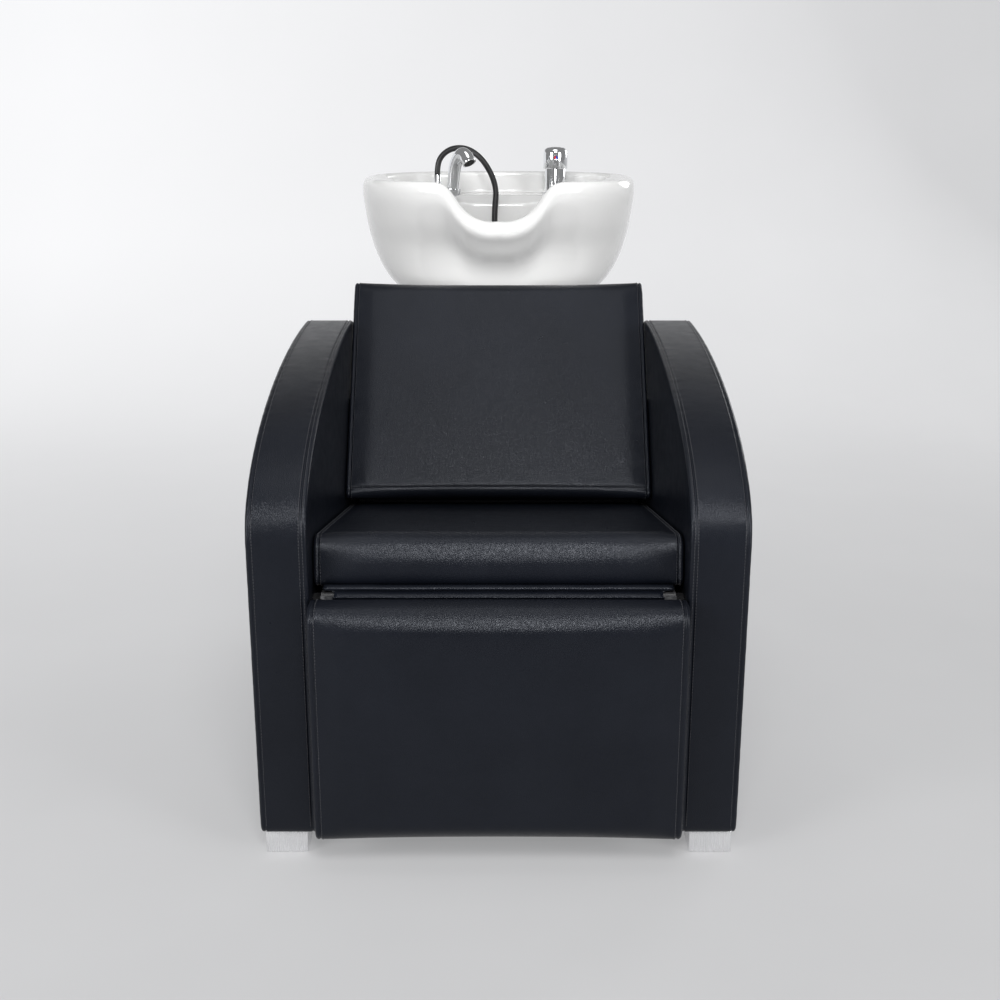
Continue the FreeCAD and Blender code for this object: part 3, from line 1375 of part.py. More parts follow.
def build_supply():
    """Flexible tails of the mixer, the stop valves, the waste hose and the waste pipe."""
    rear = COLUMN_FRONT + S.column_depth
    shank_z = float(DECK_Z - S.mixer_shank_length)
    riser_z = float(S.valve_height + S.valve_riser_height)
    valve_y = rear + S.column_wall + S.valve_stub - S.valve_length
    riser_y = float(valve_y + S.valve_riser_offset)
    collar_length = S.valve_length - S.valve_stub + S.port_lip
    valves = []
    for name, side in SIDES.items():
        x = S.valve_offset * side
        valves += [
            cylinder(f"{name}_valve_barrel", (x, valve_y, S.valve_height), "Y", S.valve_radius,
                     S.valve_length),
            cylinder(f"{name}_valve_collar", (x, valve_y, S.valve_height), "Y",
                     S.valve_collar_radius, collar_length),
            cylinder(f"{name}_valve_riser", (x, valve_y + S.valve_riser_offset, S.valve_height),
                     "Z", S.valve_riser_radius, S.valve_riser_height),
        ]
    node("stop_valves", join("stop_valves", *valves))
    drop = shank_z - riser_z
    for name, side, route in (("hot", 1, HOT_ROUTE_SHARES), ("cold", -1, COLD_ROUTE_SHARES)):
        start = (float(MIXER_X + S.supply_spread * side), float(MIXER_Y - S.supply_spread), shank_z)
        end = (float(S.valve_offset) * side, riser_y, riser_z)
        points = [start, (start[0], start[1], shank_z - SUPPLY_DROP_SHARE * drop)]
        for across, along, down in route:
            points.append((across * float(S.valve_offset), riser_y + along * (start[1] - riser_y),
                           shank_z - down * drop))
        points.append(end)
        hose(f"{name}_supply_hose", points, S.supply_radius)
    build_mixed_hose(shank_z)
    build_waste(rear)


SUPPLY_DROP_SHARE = 0.08
HOT_ROUTE_SHARES = (
    (1.72, 0.9, 0.17), (1.42, 0.6, 0.26), (1.05, 0.2, 0.345), (0.88, -0.02, 0.455),
    (0.84, -0.08, 0.58), (0.9, -0.08, 0.7), (0.97, -0.04, 0.815), (1.0, 0.0, 0.91),
)
COLD_ROUTE_SHARES = (
    (1.3, 0.92, 0.16), (0.75, 0.7, 0.235), (0.15, 0.38, 0.305), (-0.42, 0.08, 0.39),
    (-0.8, -0.04, 0.5), (-0.94, -0.08, 0.61), (-0.92, -0.08, 0.72), (-0.98, -0.03, 0.82),
    (-1.0, 0.0, 0.91),
)


def build_mixed_hose(shank_z):
    """The short hose under the deck from the mixer to the spray hose's outlet."""
    start = (float(MIXER_X), float(MIXER_Y + S.supply_spread), shank_z)
    end = (float(OUTLET_X), float(OUTLET_Y), float(DECK_Z - S.outlet_shank_length))
    points = [start]
    for share, along, drop in MIXED_ROUTE_SHARES:
        points.append((start[0] + share * (end[0] - start[0]),
                       start[1] + along * float(S.supply_spread),
                       shank_z - drop * float(S.pocket_depth)))
    points += [(end[0], end[1], end[2] - MIXED_RISE_SHARE * float(S.outlet_shank_length)), end]
    hose("mixed_water_hose", points, S.supply_radius)


MIXED_RISE_SHARE = 0.8
MIXED_ROUTE_SHARES = (
    (0, 0, 0.36), (0.1, 0, 0.68), (0.28, 0.2, 0.82), (0.52, 0.4, 0.85), (0.74, 0.6, 0.79),
    (0.912, 0.8, 0.606),
)


def build_waste(rear):
    pipe_start = rear + S.column_wall + S.waste_pipe_stub - S.waste_pipe_length
    stub = cylinder("waste_stub", (ZERO, pipe_start, S.waste_pipe_height), "Y",
                    S.waste_pipe_radius, S.waste_pipe_length)
    collar = cylinder("waste_collar", (ZERO, pipe_start, S.waste_pipe_height), "Y",
                      S.waste_collar_radius,
                      S.waste_pipe_length - S.waste_pipe_stub + S.port_lip)
    node("waste_pipe", join("waste_pipe", stub, collar))
    top = (0, float(DRAIN_Y), float(FLOOR_Z - S.drain_tail_drop))
    end = (0, float(pipe_start), float(S.waste_pipe_height))
    points = [top]
    for along, up in WASTE_ROUTE_SHARES:
        points.append((0, top[1] + along * (end[1] - top[1]), end[2] + up * (top[2] - end[2])))
    points.append(end)
    hose("waste_hose", points, S.waste_hose_radius)


WASTE_ROUTE_SHARES = (
    (0, 0.866), (-0.103, 0.725), (-0.231, 0.584), (-0.376, 0.448), (-0.496, 0.318),
    (-0.419, 0.208), (-0.197, 0.110), (0.145, 0.038), (0.564, 0),
)


def export():
    doc.recompute()
    for obj in doc.Objects:
        faults = [state for state in obj.State if state in ("Invalid", "Error")]
        if faults:
            raise RuntimeError(f"{obj.Label}: {faults}")
    os.makedirs("parts", exist_ok=True)
    for label, obj in nodes.items():
        shape = obj.Shape
        if not shape.isValid() or not shape.Solids or shape.Volume <= 0:
            raise RuntimeError(f"{label}: not a valid solid")
        shape.exportStep(f"parts/{label}.step")
    print(f"{len(nodes)} nodes written")


build_arms()
build_chassis()
build_seat()
build_back()
build_leg_rest()
build_column()
build_tilt_head()
build_bowl()
build_drain()
deck_nut = build_mixer()
build_handset()
build_outlet(deck_nut)
build_spray_hose()
build_supply()
export()
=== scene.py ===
"""Looks of a salon backwash unit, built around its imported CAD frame."""

import json
import math

import bmesh
import bpy
import numpy as np
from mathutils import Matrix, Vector
from mathutils.bvhtree import BVHTree


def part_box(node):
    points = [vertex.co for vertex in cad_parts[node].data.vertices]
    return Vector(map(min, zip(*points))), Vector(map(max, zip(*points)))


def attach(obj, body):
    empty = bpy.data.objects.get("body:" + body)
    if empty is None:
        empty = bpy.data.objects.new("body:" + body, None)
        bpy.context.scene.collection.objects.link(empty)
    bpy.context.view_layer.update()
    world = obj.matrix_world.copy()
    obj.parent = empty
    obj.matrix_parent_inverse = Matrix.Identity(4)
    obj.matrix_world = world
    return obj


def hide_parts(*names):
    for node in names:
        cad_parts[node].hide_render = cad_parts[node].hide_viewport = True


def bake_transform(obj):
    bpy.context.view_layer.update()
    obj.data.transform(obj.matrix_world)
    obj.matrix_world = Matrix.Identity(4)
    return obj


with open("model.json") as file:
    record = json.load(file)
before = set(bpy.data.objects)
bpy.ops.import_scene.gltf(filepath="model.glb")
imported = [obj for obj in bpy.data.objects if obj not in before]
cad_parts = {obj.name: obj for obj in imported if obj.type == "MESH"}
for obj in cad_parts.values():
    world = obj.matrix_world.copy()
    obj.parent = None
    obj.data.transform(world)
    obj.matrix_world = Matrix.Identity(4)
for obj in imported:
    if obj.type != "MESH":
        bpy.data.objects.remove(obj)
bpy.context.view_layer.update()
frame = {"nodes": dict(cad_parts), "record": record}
nodes = frame["nodes"]
slots = {part["node"]: part["material_slot"] for part in frame["record"]["subparts"]}
body_of = {
    node: body
    for body, members in frame["record"]["behaviour"]["bodies"].items()
    for node in members
}
scene = bpy.context.scene
scene.view_settings.view_transform = "Standard"
MM = 0.001


# Camera and lamps

CAMERA_PLACE = (0.0, -2.325, 1.051)
CAMERA_PITCH = 16.17
CAMERA_LENS = 47.75
CAMERA_SHIFT = 0.0015


def add_camera():
    """The view that the photo was taken from."""
    data = bpy.data.cameras.new("camera")
    data.sensor_width = 36
    data.lens = CAMERA_LENS
    data.shift_x = CAMERA_SHIFT
    camera = bpy.data.objects.new("camera", data)
    bpy.context.collection.objects.link(camera)
    camera.location = CAMERA_PLACE
    camera.rotation_euler = (math.radians(90 - CAMERA_PITCH), 0, 0)
    scene.camera = camera


def add_lamp(name, place, target, size, energy):
    """A round lamp that shines on a target."""
    data = bpy.data.lights.new(name, "AREA")
    data.shape = "DISK"
    data.size = size
    data.energy = energy
    lamp = bpy.data.objects.new(name, data)
    bpy.context.collection.objects.link(lamp)
    lamp.location = place
    aim = Vector(target) - Vector(place)
    lamp.rotation_euler = aim.to_track_quat("-Z", "Y").to_euler()


# Materials

def socket_name(key):
    """Label of a shader socket, from a keyword."""
    return key.replace("_", " ").title().replace("Ior", "IOR")


class Shader:
    """A material under construction, with textures laid out in the object's own metres."""

    def __init__(self, name):
        self.material = bpy.data.materials.new(name)
        self.material.use_nodes = True
        self.tree = self.material.node_tree
        self.surface = self.tree.nodes["Principled BSDF"]
        self.place = self.add("ShaderNodeTexCoord").outputs["Object"]
        self.height = None

    def add(self, kind, settings=None, **values):
        node = self.tree.nodes.new(kind)
        for key, value in (settings or {}).items():
            setattr(node, key, value)
        for key, value in values.items():
            self.feed(node.inputs[socket_name(key)], value)
        return node

    def feed(self, socket, value):
        if isinstance(value, bpy.types.NodeSocket):
            self.tree.links.new(value, socket)
        else:
            socket.default_value = value

    def set(self, **values):
        """Values and links straight on the shader's own sockets."""
        for key, value in values.items():
            self.feed(self.surface.inputs[socket_name(key)], value)

    def stretched(self, scale):
        node = self.add("ShaderNodeMapping", Vector=self.place)
        node.inputs["Scale"].default_value = scale
        return node.outputs["Vector"]

    def noise(self, scale, detail=3.0, rough=0.55, vector=None):
        node = self.add("ShaderNodeTexNoise", Vector=vector or self.place, Scale=scale,
                        Detail=detail, Roughness=rough)
        return node.outputs["Fac"]

    def cells(self, scale):
        """Distance from the edges of a cell pattern."""
        node = self.add("ShaderNodeTexVoronoi", {"feature": "DISTANCE_TO_EDGE"},
                        Vector=self.place, Scale=scale)
        return node.outputs["Distance"]

    def waves(self, scale, direction, distortion=0.0, detail=2.0, vector=None):
        node = self.add("ShaderNodeTexWave", {"bands_direction": direction},
                        Vector=vector or self.place, Scale=scale, Distortion=distortion,
                        Detail=detail)
        return node.outputs["Fac"]

    def ramp(self, value, low, high, start=0.3, stop=0.7, constant=False):
        node = self.add("ShaderNodeValToRGB", Fac=value)
        if constant:
            node.color_ramp.interpolation = "CONSTANT"
        first, last = node.color_ramp.elements
        first.position, last.position = start, stop
        first.color, last.color = (*low, 1), (*high, 1)
        return node.outputs["Color"]

    def between(self, value, low, high, start=0.25, stop=0.75):
        node = self.add("ShaderNodeMapRange", Value=value)
        for name, number in zip(("From Min", "From Max", "To Min", "To Max"),
                                (start, stop, low, high)):
            node.inputs[name].default_value = number
        return node.outputs["Result"]

    def sum(self, first, second, operation="ADD"):
        node = self.add("ShaderNodeMath", {"operation": operation})
        self.feed(node.inputs[0], first)
        self.feed(node.inputs[1], second)
        return node.outputs[0]

    def bump(self, value, distance, strength):
        node = self.add("ShaderNodeBump", Height=value, Strength=strength, Distance=distance)
        if self.height:
            self.feed(node.inputs["Normal"], self.height)
        self.height = node.outputs["Normal"]
        self.feed(self.surface.inputs["Normal"], self.height)


def leather():
    shader = Shader("black_leather")
    hide = shader.noise(7, 4)
    grain = shader.cells(460)
    shader.set(
        base_color=shader.ramp(hide, (0.0040, 0.0050, 0.0082), (0.0065, 0.0078, 0.0120)),
        roughness=shader.between(shader.noise(45, 4), 0.27, 0.36),
        specular_ior_level=0.25, specular_tint=(0.88, 0.92, 1.0, 1),
    )
    shader.bump(shader.noise(38, 2), 0.9 * MM, 0.22)
    shader.bump(shader.between(grain, 0, 1, 0.0, 0.3), 0.2 * MM, 0.6)
    shader.bump(shader.noise(1900, 2), 0.06 * MM, 0.4)
    return shader.material


def thread():
    shader = Shader("stitching_thread")
    twist = shader.waves(900, "DIAGONAL", 0.5)
    shader.set(base_color=shader.ramp(twist, (0.026, 0.027, 0.032), (0.055, 0.056, 0.064)),
               roughness=shader.between(twist, 0.45, 0.6))
    shader.bump(twist, 0.1 * MM, 0.5)
    return shader.material


def ceramic():
    shader = Shader("white_ceramic")
    pool = shader.noise(9, 2)
    shader.set(base_color=shader.ramp(pool, (0.80, 0.80, 0.795), (0.83, 0.83, 0.825)),
               roughness=shader.between(shader.noise(60, 3), 0.07, 0.12),
               coat_weight=0.35, coat_roughness=0.04)
    shader.bump(shader.noise(55, 1), 0.35 * MM, 0.1)
    return shader.material


def chrome():
    shader = Shader("polished_chrome")
    film = shader.noise(140, 4)
    shader.set(metallic=1.0,
               base_color=shader.ramp(film, (0.74, 0.75, 0.77), (0.80, 0.81, 0.82)),
               roughness=shader.between(film, 0.05, 0.10))
    shader.bump(shader.noise(90, 1), 0.05 * MM, 0.15)
    return shader.material


def brushed(name, low, high, rough, along):
    shader = Shader(name)
    lines = shader.noise(1.0, 5, 0.65, shader.stretched(along))
    shader.set(metallic=1.0, base_color=shader.ramp(lines, low, high),
               roughness=shader.between(lines, *rough))
    shader.bump(lines, 0.05 * MM, 0.35)
    return shader.material


def speckled(name, low, high, rough, scale, depth, metallic=0.0, coarse=12):
    """Powder coat, rubber, moulded plastic and cast metal: fine texture, faint variation."""
    shader = Shader(name)
    patch = shader.noise(coarse, 3)
    fine = shader.noise(scale, 3, 0.6)
    shader.set(metallic=metallic, base_color=shader.ramp(patch, low, high),
               roughness=shader.between(shader.sum(patch, fine), *rough, 0.7, 1.3))
    shader.bump(fine, depth * MM, 0.5)
    return shader.material


def timber(name, low, high):
    shader = Shader(name)
    rings = shader.waves(9, "X", 7.0, 3.0, shader.stretched((3.0, 0.35, 3.0)))
    pores = shader.noise(1.0, 3, 0.6, shader.stretched((700, 30, 700)))
    shader.set(base_color=shader.ramp(rings, low, high, 0.2, 0.9),
               roughness=shader.between(pores, 0.55, 0.75))
    shader.bump(shader.sum(rings, pores), 0.15 * MM, 0.4)
    return shader.material


def two_tone(middle):
    """Half red, half blue dot that marks hot and cold."""
    shader = Shader("temperature_dot")
    across = shader.add("ShaderNodeSeparateXYZ", Vector=shader.place).outputs["X"]
    side = shader.sum(across, middle, "GREATER_THAN")
    shader.set(base_color=shader.ramp(side, (0.55, 0.02, 0.02), (0.02, 0.06, 0.42), 0.0, 0.5, True),
               roughness=shader.between(shader.noise(300), 0.15, 0.25), coat_weight=0.5)
    shader.bump(shader.noise(400), 0.03 * MM, 0.3)
    return shader.material


def braid(name, low, high, metallic, around, along):
    """Woven sleeve of a hose, from the tube's own unwrapped length and turn."""
    shader = Shader(name)
    unwrapped = shader.add("ShaderNodeUVMap").outputs["UV"]
    strands = []
    for lean in (1, -1):
        node = shader.add("ShaderNodeMapping", Vector=unwrapped)
        node.inputs["Scale"].default_value = (around, along * lean, 1)
        strands.append(shader.waves(1.0, "DIAGONAL", vector=node.outputs["Vector"]))
    weave = shader.sum(*strands, "MAXIMUM")
    shader.set(metallic=metallic, base_color=shader.ramp(weave, low, high, 0.3, 0.9),
               roughness=shader.between(weave, 0.45, 0.28))
    shader.bump(weave, 0.25 * MM, 0.7)
    return shader.material


def stage_material():
    """Pale paper that keeps shadows and stays pale behind the object and in reflections, with
    painted light: a glow that is brighter towards the left and towards the back.
    """
    shader = Shader("studio_paper")
    spot = shader.add("ShaderNodeSeparateXYZ", Vector=shader.place).outputs
    shader.set(base_color=shader.ramp(shader.noise(2), (0.29, 0.29, 0.295), (0.31, 0.31, 0.315)),
               roughness=0.9)
    path = shader.add("ShaderNodeLightPath").outputs
    seen = shader.sum(shader.sum(path["Is Camera Ray"], path["Is Glossy Ray"]),
                      path["Is Transmission Ray"])
    # Painted light: emission seen by the camera and in reflections, brighter towards the left and
    # towards the back of the stage, where there is no lamp.
    painted_backdrop_light = shader.sum(shader.between(spot["X"], 0.80, 0.50, -1.8, 1.8),
                      shader.between(spot["Y"], 0.35, 1.0, -1.0, 3.2), "MULTIPLY")
    shader.set(emission_color=(0.98, 0.985, 1.0, 1),
               emission_strength=shader.sum(seen, painted_backdrop_light, "MULTIPLY"))
    return shader.material


MARK_LOW, MARK_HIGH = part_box("temperature_mark")
MATERIALS = {
    "black_leather": leather(),
    "timber": timber("timber", (0.36, 0.23, 0.12), (0.52, 0.36, 0.21)),
    "black_timber": timber("black_timber", (0.006, 0.006, 0.007), (0.012, 0.012, 0.013)),
    "satin_metal": brushed("satin_metal", (0.86, 0.86, 0.87), (0.94, 0.94, 0.95), (0.20, 0.34),
                           (1200, 1200, 12)),
    "black_steel": speckled("black_steel", (0.012, 0.012, 0.013), (0.02, 0.02, 0.022),
                            (0.42, 0.58), 1600, 0.08),
    "zinc_steel": speckled("zinc_steel", (0.48, 0.49, 0.52), (0.62, 0.63, 0.64), (0.28, 0.46),
                           420, 0.04, 1.0, 160),
    "black_rubber": speckled("black_rubber", (0.010, 0.010, 0.010), (0.018, 0.018, 0.018),
                             (0.62, 0.8), 900, 0.08),
    "black_plastic": speckled("black_plastic", (0.012, 0.012, 0.012), (0.02, 0.02, 0.02),
                              (0.32, 0.46), 1400, 0.05),
    "white_ceramic": ceramic(),
    "polished_chrome": chrome(),
    "red_plastic": two_tone(float((MARK_LOW + MARK_HIGH)[0] / 2)),
    "brass_fittings": speckled("brass_fittings", (0.60, 0.42, 0.18), (0.72, 0.53, 0.26),
                               (0.22, 0.38), 300, 0.04, 1.0, 60),
    "black_hose": speckled("black_hose", (0.008, 0.008, 0.009), (0.014, 0.014, 0.015),
                           (0.3, 0.42), 700, 0.05, 0.0, 40),
    "braided_hose": braid("braided_hose", (0.20, 0.20, 0.21), (0.66, 0.66, 0.67), 1.0, 50, 2200),
    "grey_pvc": speckled("grey_pvc", (0.34, 0.35, 0.36), (0.39, 0.40, 0.41), (0.32, 0.44), 500,
                         0.05),
    "stitching_thread": thread(),
}

# The board's upper edge can be seen from behind, so it is stained like the other boards
STAINED = {"back_board": "black_timber"}


# Stage

STAGE_DEPTH, STAGE_HEIGHT, STAGE_RADIUS, STAGE_HALF = 3.6, 2.4, 1.6, 14.0
STAGE_CURVE_POINTS = 17
WORLD_STRENGTH = 0.27
LAMPS = (
    # name, place, target, size, energy
    ("top_lamp", (0.0, -0.6, 3.1), (0, 0.2, 0.4), 1.5, 13),
    ("front_lamp", (0.1, -2.4, 2.3), (0, 0.0, 0.6), 0.9, 41),
    ("key_lamp", (-2.2, -2.3, 1.3), (0, 0.2, 0.75), 1.3, 45),
    ("fill_lamp", (2.3, -2.1, 1.2), (0, 0.2, 0.75), 1.3, 41),
    ("rear_lamp", (2.4, 2.4, 1.6), (0, 0.3, 0.6), 1.4, 22),
)


def add_stage():
    """Floor that turns up into a backdrop in one curve, with the world and the lamps."""
    bend = STAGE_DEPTH - STAGE_RADIUS
    profile = [(-STAGE_HALF, 0.0), (bend, 0.0)]
    for turn in np.linspace(0, math.pi / 2, STAGE_CURVE_POINTS)[1:]:
        profile.append((bend + STAGE_RADIUS * math.sin(turn),
                        STAGE_RADIUS - STAGE_RADIUS * math.cos(turn)))
    profile.append((STAGE_DEPTH, STAGE_HEIGHT))
    points = [(x, y, z) for x in (-STAGE_HALF, STAGE_HALF) for y, z in profile]
    count = len(profile)
    faces = [(i, i + 1, count + i + 1, count + i) for i in range(count - 1)]
    paper = add_mesh("studio_floor", points, faces, stage_material())
    world = bpy.data.worlds.new("studio")
    world.use_nodes = True
    backdrop = world.node_tree.nodes["Background"].inputs
    backdrop["Color"].default_value = (1, 1, 1, 1)
    backdrop["Strength"].default_value = WORLD_STRENGTH
    scene.world = world
    for lamp in LAMPS:
        add_lamp(*lamp)


# Mesh helpers

def add_mesh(name, points, faces, material):
    mesh = bpy.data.meshes.new(name)
    mesh.from_pydata([tuple(p) for p in points], [], faces)
    mesh.materials.append(material)
    mesh.shade_smooth()
    obj = bpy.data.objects.new(name, mesh)
    bpy.context.collection.objects.link(obj)
    return obj


def ring_faces(rings, sides, start=0):
    """Quads that join each closed ring of points to the next."""
    faces = []
    for first in range(start, start + (rings - 1) * sides, sides):
        for spot in range(sides):
            after = (spot + 1) % sides
            faces.append((first + spot, first + after, first + sides + after,
                          first + sides + spot))
    return faces


def lengths_along(points):
    """Distance walked along a line, at each of its points."""
    return np.concatenate(([0], np.cumsum(np.linalg.norm(np.diff(points, axis=0), axis=1))))


def coordinates(mesh):
    found = np.zeros(len(mesh.vertices) * 3, np.float32)
    mesh.vertices.foreach_get("co", found)
    return found.reshape(-1, 3).astype(float)


def set_coordinates(mesh, points):
    mesh.vertices.foreach_set("co", np.asarray(points, np.float32).ravel())
    mesh.update()


def normals(mesh):
    found = np.zeros(len(mesh.vertices) * 3, np.float32)
    mesh.vertex_normals.foreach_get("vector", found)
    return found.reshape(-1, 3).astype(float)


def change_mesh(mesh, change):
    work = bmesh.new()
    work.from_mesh(mesh)
    change(work)
    work.to_mesh(mesh)
    work.free()


def apply_modifiers(obj):
    graph = bpy.context.evaluated_depsgraph_get()
    mesh = bpy.data.meshes.new_from_object(obj.evaluated_get(graph))
    obj.modifiers.clear()
    old = obj.data
    obj.data = mesh
    bpy.data.meshes.remove(old)


def copy_of(node):
    """A welded copy of a CAD node's mesh, as a piece of its own."""
    mesh = nodes[node].data.copy()
    change_mesh(mesh, lambda work: bmesh.ops.remove_doubles(
        work, verts=work.verts, dist=0.02 * MM))
    mesh.materials.clear()
    mesh.materials.append(MATERIALS[slots[node]])
    obj = bpy.data.objects.new(f"{node}_dressed", mesh)
    bpy.context.collection.objects.link(obj)
    return obj


def stand_for(obj, node):
    """The piece takes a CAD node's place and body."""
    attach(obj, body_of[node])
    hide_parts(node)
    return obj


# Upholstery

STEP = 10 * MM
CAP_SHARES = (0.97, 0.92, 0.84, 0.72)
RIM_ANGLES = (90, 60, 30, 0)
NEAR_SEAM = (-9, -5, -2.5, 0, 2.5, 5, 9)
ARC_STEPS = 9
COVER_LEVELS = 2
CLOTH_FRAMES = 20
SEAM_REACH = 9 * MM
SEAM_CLEAR = 11.5 * MM
ON_SEAM = 0.5 * MM
RIM_CLEAR = 1.5 * MM
HEM_ROW_RISE = 3 * MM
PAD_EDGE = 5 * MM
ARM_ROW_GAP = 2.6 * MM
TWIN_ROW_GAP = 2.7 * MM
SINGLE_ROW_GAP = 2.8 * MM


def rounded_loop(corners, step):
    """Closed outline through (u, v, radius) corners, as evenly spaced points."""
    dense = []
    for index, (u, v, radius) in enumerate(corners):
        here = Vector((u, v))
        if radius == 0:
            dense.append(here)
            continue
        before = Vector(corners[index - 1][:2])
        after = Vector(corners[(index + 1) % len(corners)][:2])
        into, out = (before - here).normalized(), (after - here).normalized()
        half_turn = into.angle(out) / 2
        middle = here + (into + out).normalized() * (radius / math.sin(half_turn))
        first = here + into * (radius / math.tan(half_turn)) - middle
        last = here + out * (radius / math.tan(half_turn)) - middle
        turn = first.angle(last)
        for share in np.linspace(0, 1, ARC_STEPS):
            dense.append(middle + (first * math.sin((1 - share) * turn)
                                   + last * math.sin(share * turn)) / math.sin(turn))
    points = np.array([tuple(p) for p in dense + dense[:1]])
    walked = lengths_along(points)
    marks = np.linspace(0, walked[-1], round(walked[-1] / step), endpoint=False)
    return np.stack([np.interp(marks, walked, points[:, axis]) for axis in (0, 1)], axis=1)


def wobble(values, seed):
    """A smooth wave that never repeats over a seam's length, from -1 to 1."""
    waves = ((210, 0.9), (137, 2.3), (83, 4.1), (331, 1.7))
    return sum(np.sin(rate * values + shift * seed) for rate, shift in waves) / len(waves)


class Pad:
    """An upholstered form: an outline swept across X, drawn in at its ends and sewn."""

    def __init__(self, name, outline, origin, angle, middle, half, edge, seams, hem=None):
        self.name = name
        self.outline = outline
        self.origin = np.array(origin)
        turn = math.radians(angle)
        self.along = np.array((math.cos(turn), math.sin(turn)))
        self.up = np.array((-math.sin(turn), math.cos(turn)))
        self.middle, self.half, self.edge = middle, half, edge
        self.seams = seams
        self.hem = None if hem is None else int(np.argmin(np.linalg.norm(outline - hem, axis=1)))
        low, high = outline.min(0), outline.max(0)
        self.centre, self.reach = (low + high) / 2, (high - low) / 2
        self.build()

    def stations(self):
        """(x, inset, share) of each ring, from inside one end to inside the other."""
        caps = [(-self.half, self.edge, share) for share in reversed(CAP_SHARES)]
        rims = [(-self.half + self.edge * (1 - math.sin(math.radians(a))),
                 self.edge * (1 - math.cos(math.radians(a))), 1.0) for a in RIM_ANGLES]
        inner = self.half - self.edge
        across = set(np.round(np.linspace(-inner, inner, round(2 * inner / STEP) + 1), 5)[1:-1])
        for seam in self.seams:
            across = {x for x in across if abs(x - seam) > SEAM_CLEAR}
            across |= {round(seam + shift * MM, 5) for shift in NEAR_SEAM}
        across = sorted(x for x in across if abs(x) < inner - RIM_CLEAR)
        ends = caps + rims
        return ends + [(x, 0.0, 1.0) for x in across] + [(-x, i, s) for x, i, s in reversed(ends)]

    def world(self, x, flat):
        """Places in the shared frame of flat places in the plane at x."""
        yz = self.origin + flat[:, :1] * self.along + flat[:, 1:] * self.up
        return np.column_stack((np.full(len(flat), self.middle + x), yz))

    def build(self):
        """The bare cover, ring by ring, and where each of its points lies."""
        self.rings = self.stations()
        count = len(self.outline)
        points, across, flat_places, sides = [], [], [], []
        for x, inset, share in self.rings:
            flat = self.centre + (self.outline - self.centre) * (1 - inset / self.reach) * share
            points.append(self.world(x, flat))
            across += [x] * count
            sides += [float(share == 1.0)] * count
            flat_places.append(flat)
        self.obj = add_mesh(self.name, np.concatenate(points), ring_faces(len(self.rings), count),
                            MATERIALS["black_leather"])
        change_mesh(self.obj.data, lambda work: bmesh.ops.recalc_face_normals(
            work, faces=work.faces))
        self.across = np.array(across)
        self.sides = np.array(sides)
        self.flat = np.concatenate(flat_places)
        self.walked = np.tile(np.arange(count) * STEP, len(self.rings))

    def puff(self, pressure, cap, held):
        """Air pressure swells the cover between the seams and the places that are held."""
        mesh = self.obj.data
        rest = coordinates(mesh)
        pinned = held(self.across, self.flat)
        for seam in self.seams:
            pinned |= np.abs(self.across - seam) < ON_SEAM
        group = self.obj.vertex_groups.new(name="held")
        group.add([int(index) for index in np.flatnonzero(pinned)], 1.0, "REPLACE")
        cloth = self.obj.modifiers.new("puff", "CLOTH")
        settings = cloth.settings
        settings.quality = 6
        settings.mass = 0.25
        settings.tension_stiffness = 14
        settings.compression_stiffness = 14
        settings.shear_stiffness = 6
        settings.bending_stiffness = 1.2
        settings.use_pressure = True
        settings.uniform_pressure_force = pressure
        settings.vertex_group_mass = group.name
        settings.effector_weights.gravity = 0
        cloth.collision_settings.use_collision = False
        for number in range(1, CLOTH_FRAMES + 1):
            scene.frame_set(number)
        graph = bpy.context.evaluated_depsgraph_get()
        swollen = coordinates(self.obj.evaluated_get(graph).data)
        self.obj.modifiers.clear()
        self.obj.vertex_groups.clear()
        scene.frame_set(1)
        move = swollen - rest
        size = np.linalg.norm(move, axis=1, keepdims=True)
        set_coordinates(mesh, rest + move * np.minimum(1, cap / np.maximum(size, 1e-9)))

    def sew(self, depth, width, pucker):
        """Refines the cover, then presses its seams in and puckers the leather beside them."""
        self.coarse = coordinates(self.obj.data)
        mesh = self.obj.data
        for name, values in (("across", self.across), ("walked", self.walked),
                             ("sides", self.sides)):
            mesh.attributes.new(name, "FLOAT", "POINT").data.foreach_set(
                "value", values.astype(np.float32))
        finer = self.obj.modifiers.new("finer", "SUBSURF")
        finer.levels = COVER_LEVELS
        apply_modifiers(self.obj)
        mesh = self.obj.data
        values = {}
        for name in ("across", "walked", "sides"):
            found = np.zeros(len(mesh.vertices), np.float32)
            mesh.attributes[name].data.foreach_get("value", found)
            values[name] = found.astype(float)
            mesh.attributes.remove(mesh.attributes[name])
        lift = np.zeros(len(mesh.vertices))
        for seed, seam in enumerate(self.seams, start=1):
            away = values["across"] - seam
            lift -= depth * np.exp(-(away / width) ** 2)
            beside = np.exp(-(np.abs(away) / SEAM_REACH) ** 1.4)
            lift += pucker * beside * wobble(values["walked"], seed)
        if self.hem is not None:
            lift -= depth * np.exp(-((values["walked"] - self.hem * STEP) / (2 * width)) ** 2)
        lift *= values["sides"]
        set_coordinates(mesh, coordinates(mesh) + normals(mesh) * lift[:, None])
        change_mesh(mesh, lambda work: bmesh.ops.edgeloop_fill(
            work, edges=[edge for edge in work.edges if edge.is_boundary]))
        self.surface = BVHTree.FromObject(self.obj, bpy.context.evaluated_depsgraph_get())

    def row(self, x, shown):
        """Points and normals along a stitch row at x, where the row shows."""
        count = len(self.outline)
        plain = [index for index, ring in enumerate(self.rings) if ring[1] == 0.0]
        places = [self.rings[index][0] for index in plain]
        after = min(max(int(np.searchsorted(places, x)), 1), len(places) - 1)
        share = (x - places[after - 1]) / (places[after] - places[after - 1])
        first, second = plain[after - 1] * count, plain[after] * count
        loop = (self.coarse[first:first + count] * (1 - share)
                + self.coarse[second:second + count] * share)
        return stitch_points(np.concatenate((loop, loop[:1])), self.surface, shown)

    def rows(self, places, shown):
        """All the stitches of several rows."""
        return [stitch for x in places for stitch in self.row(x, shown)]

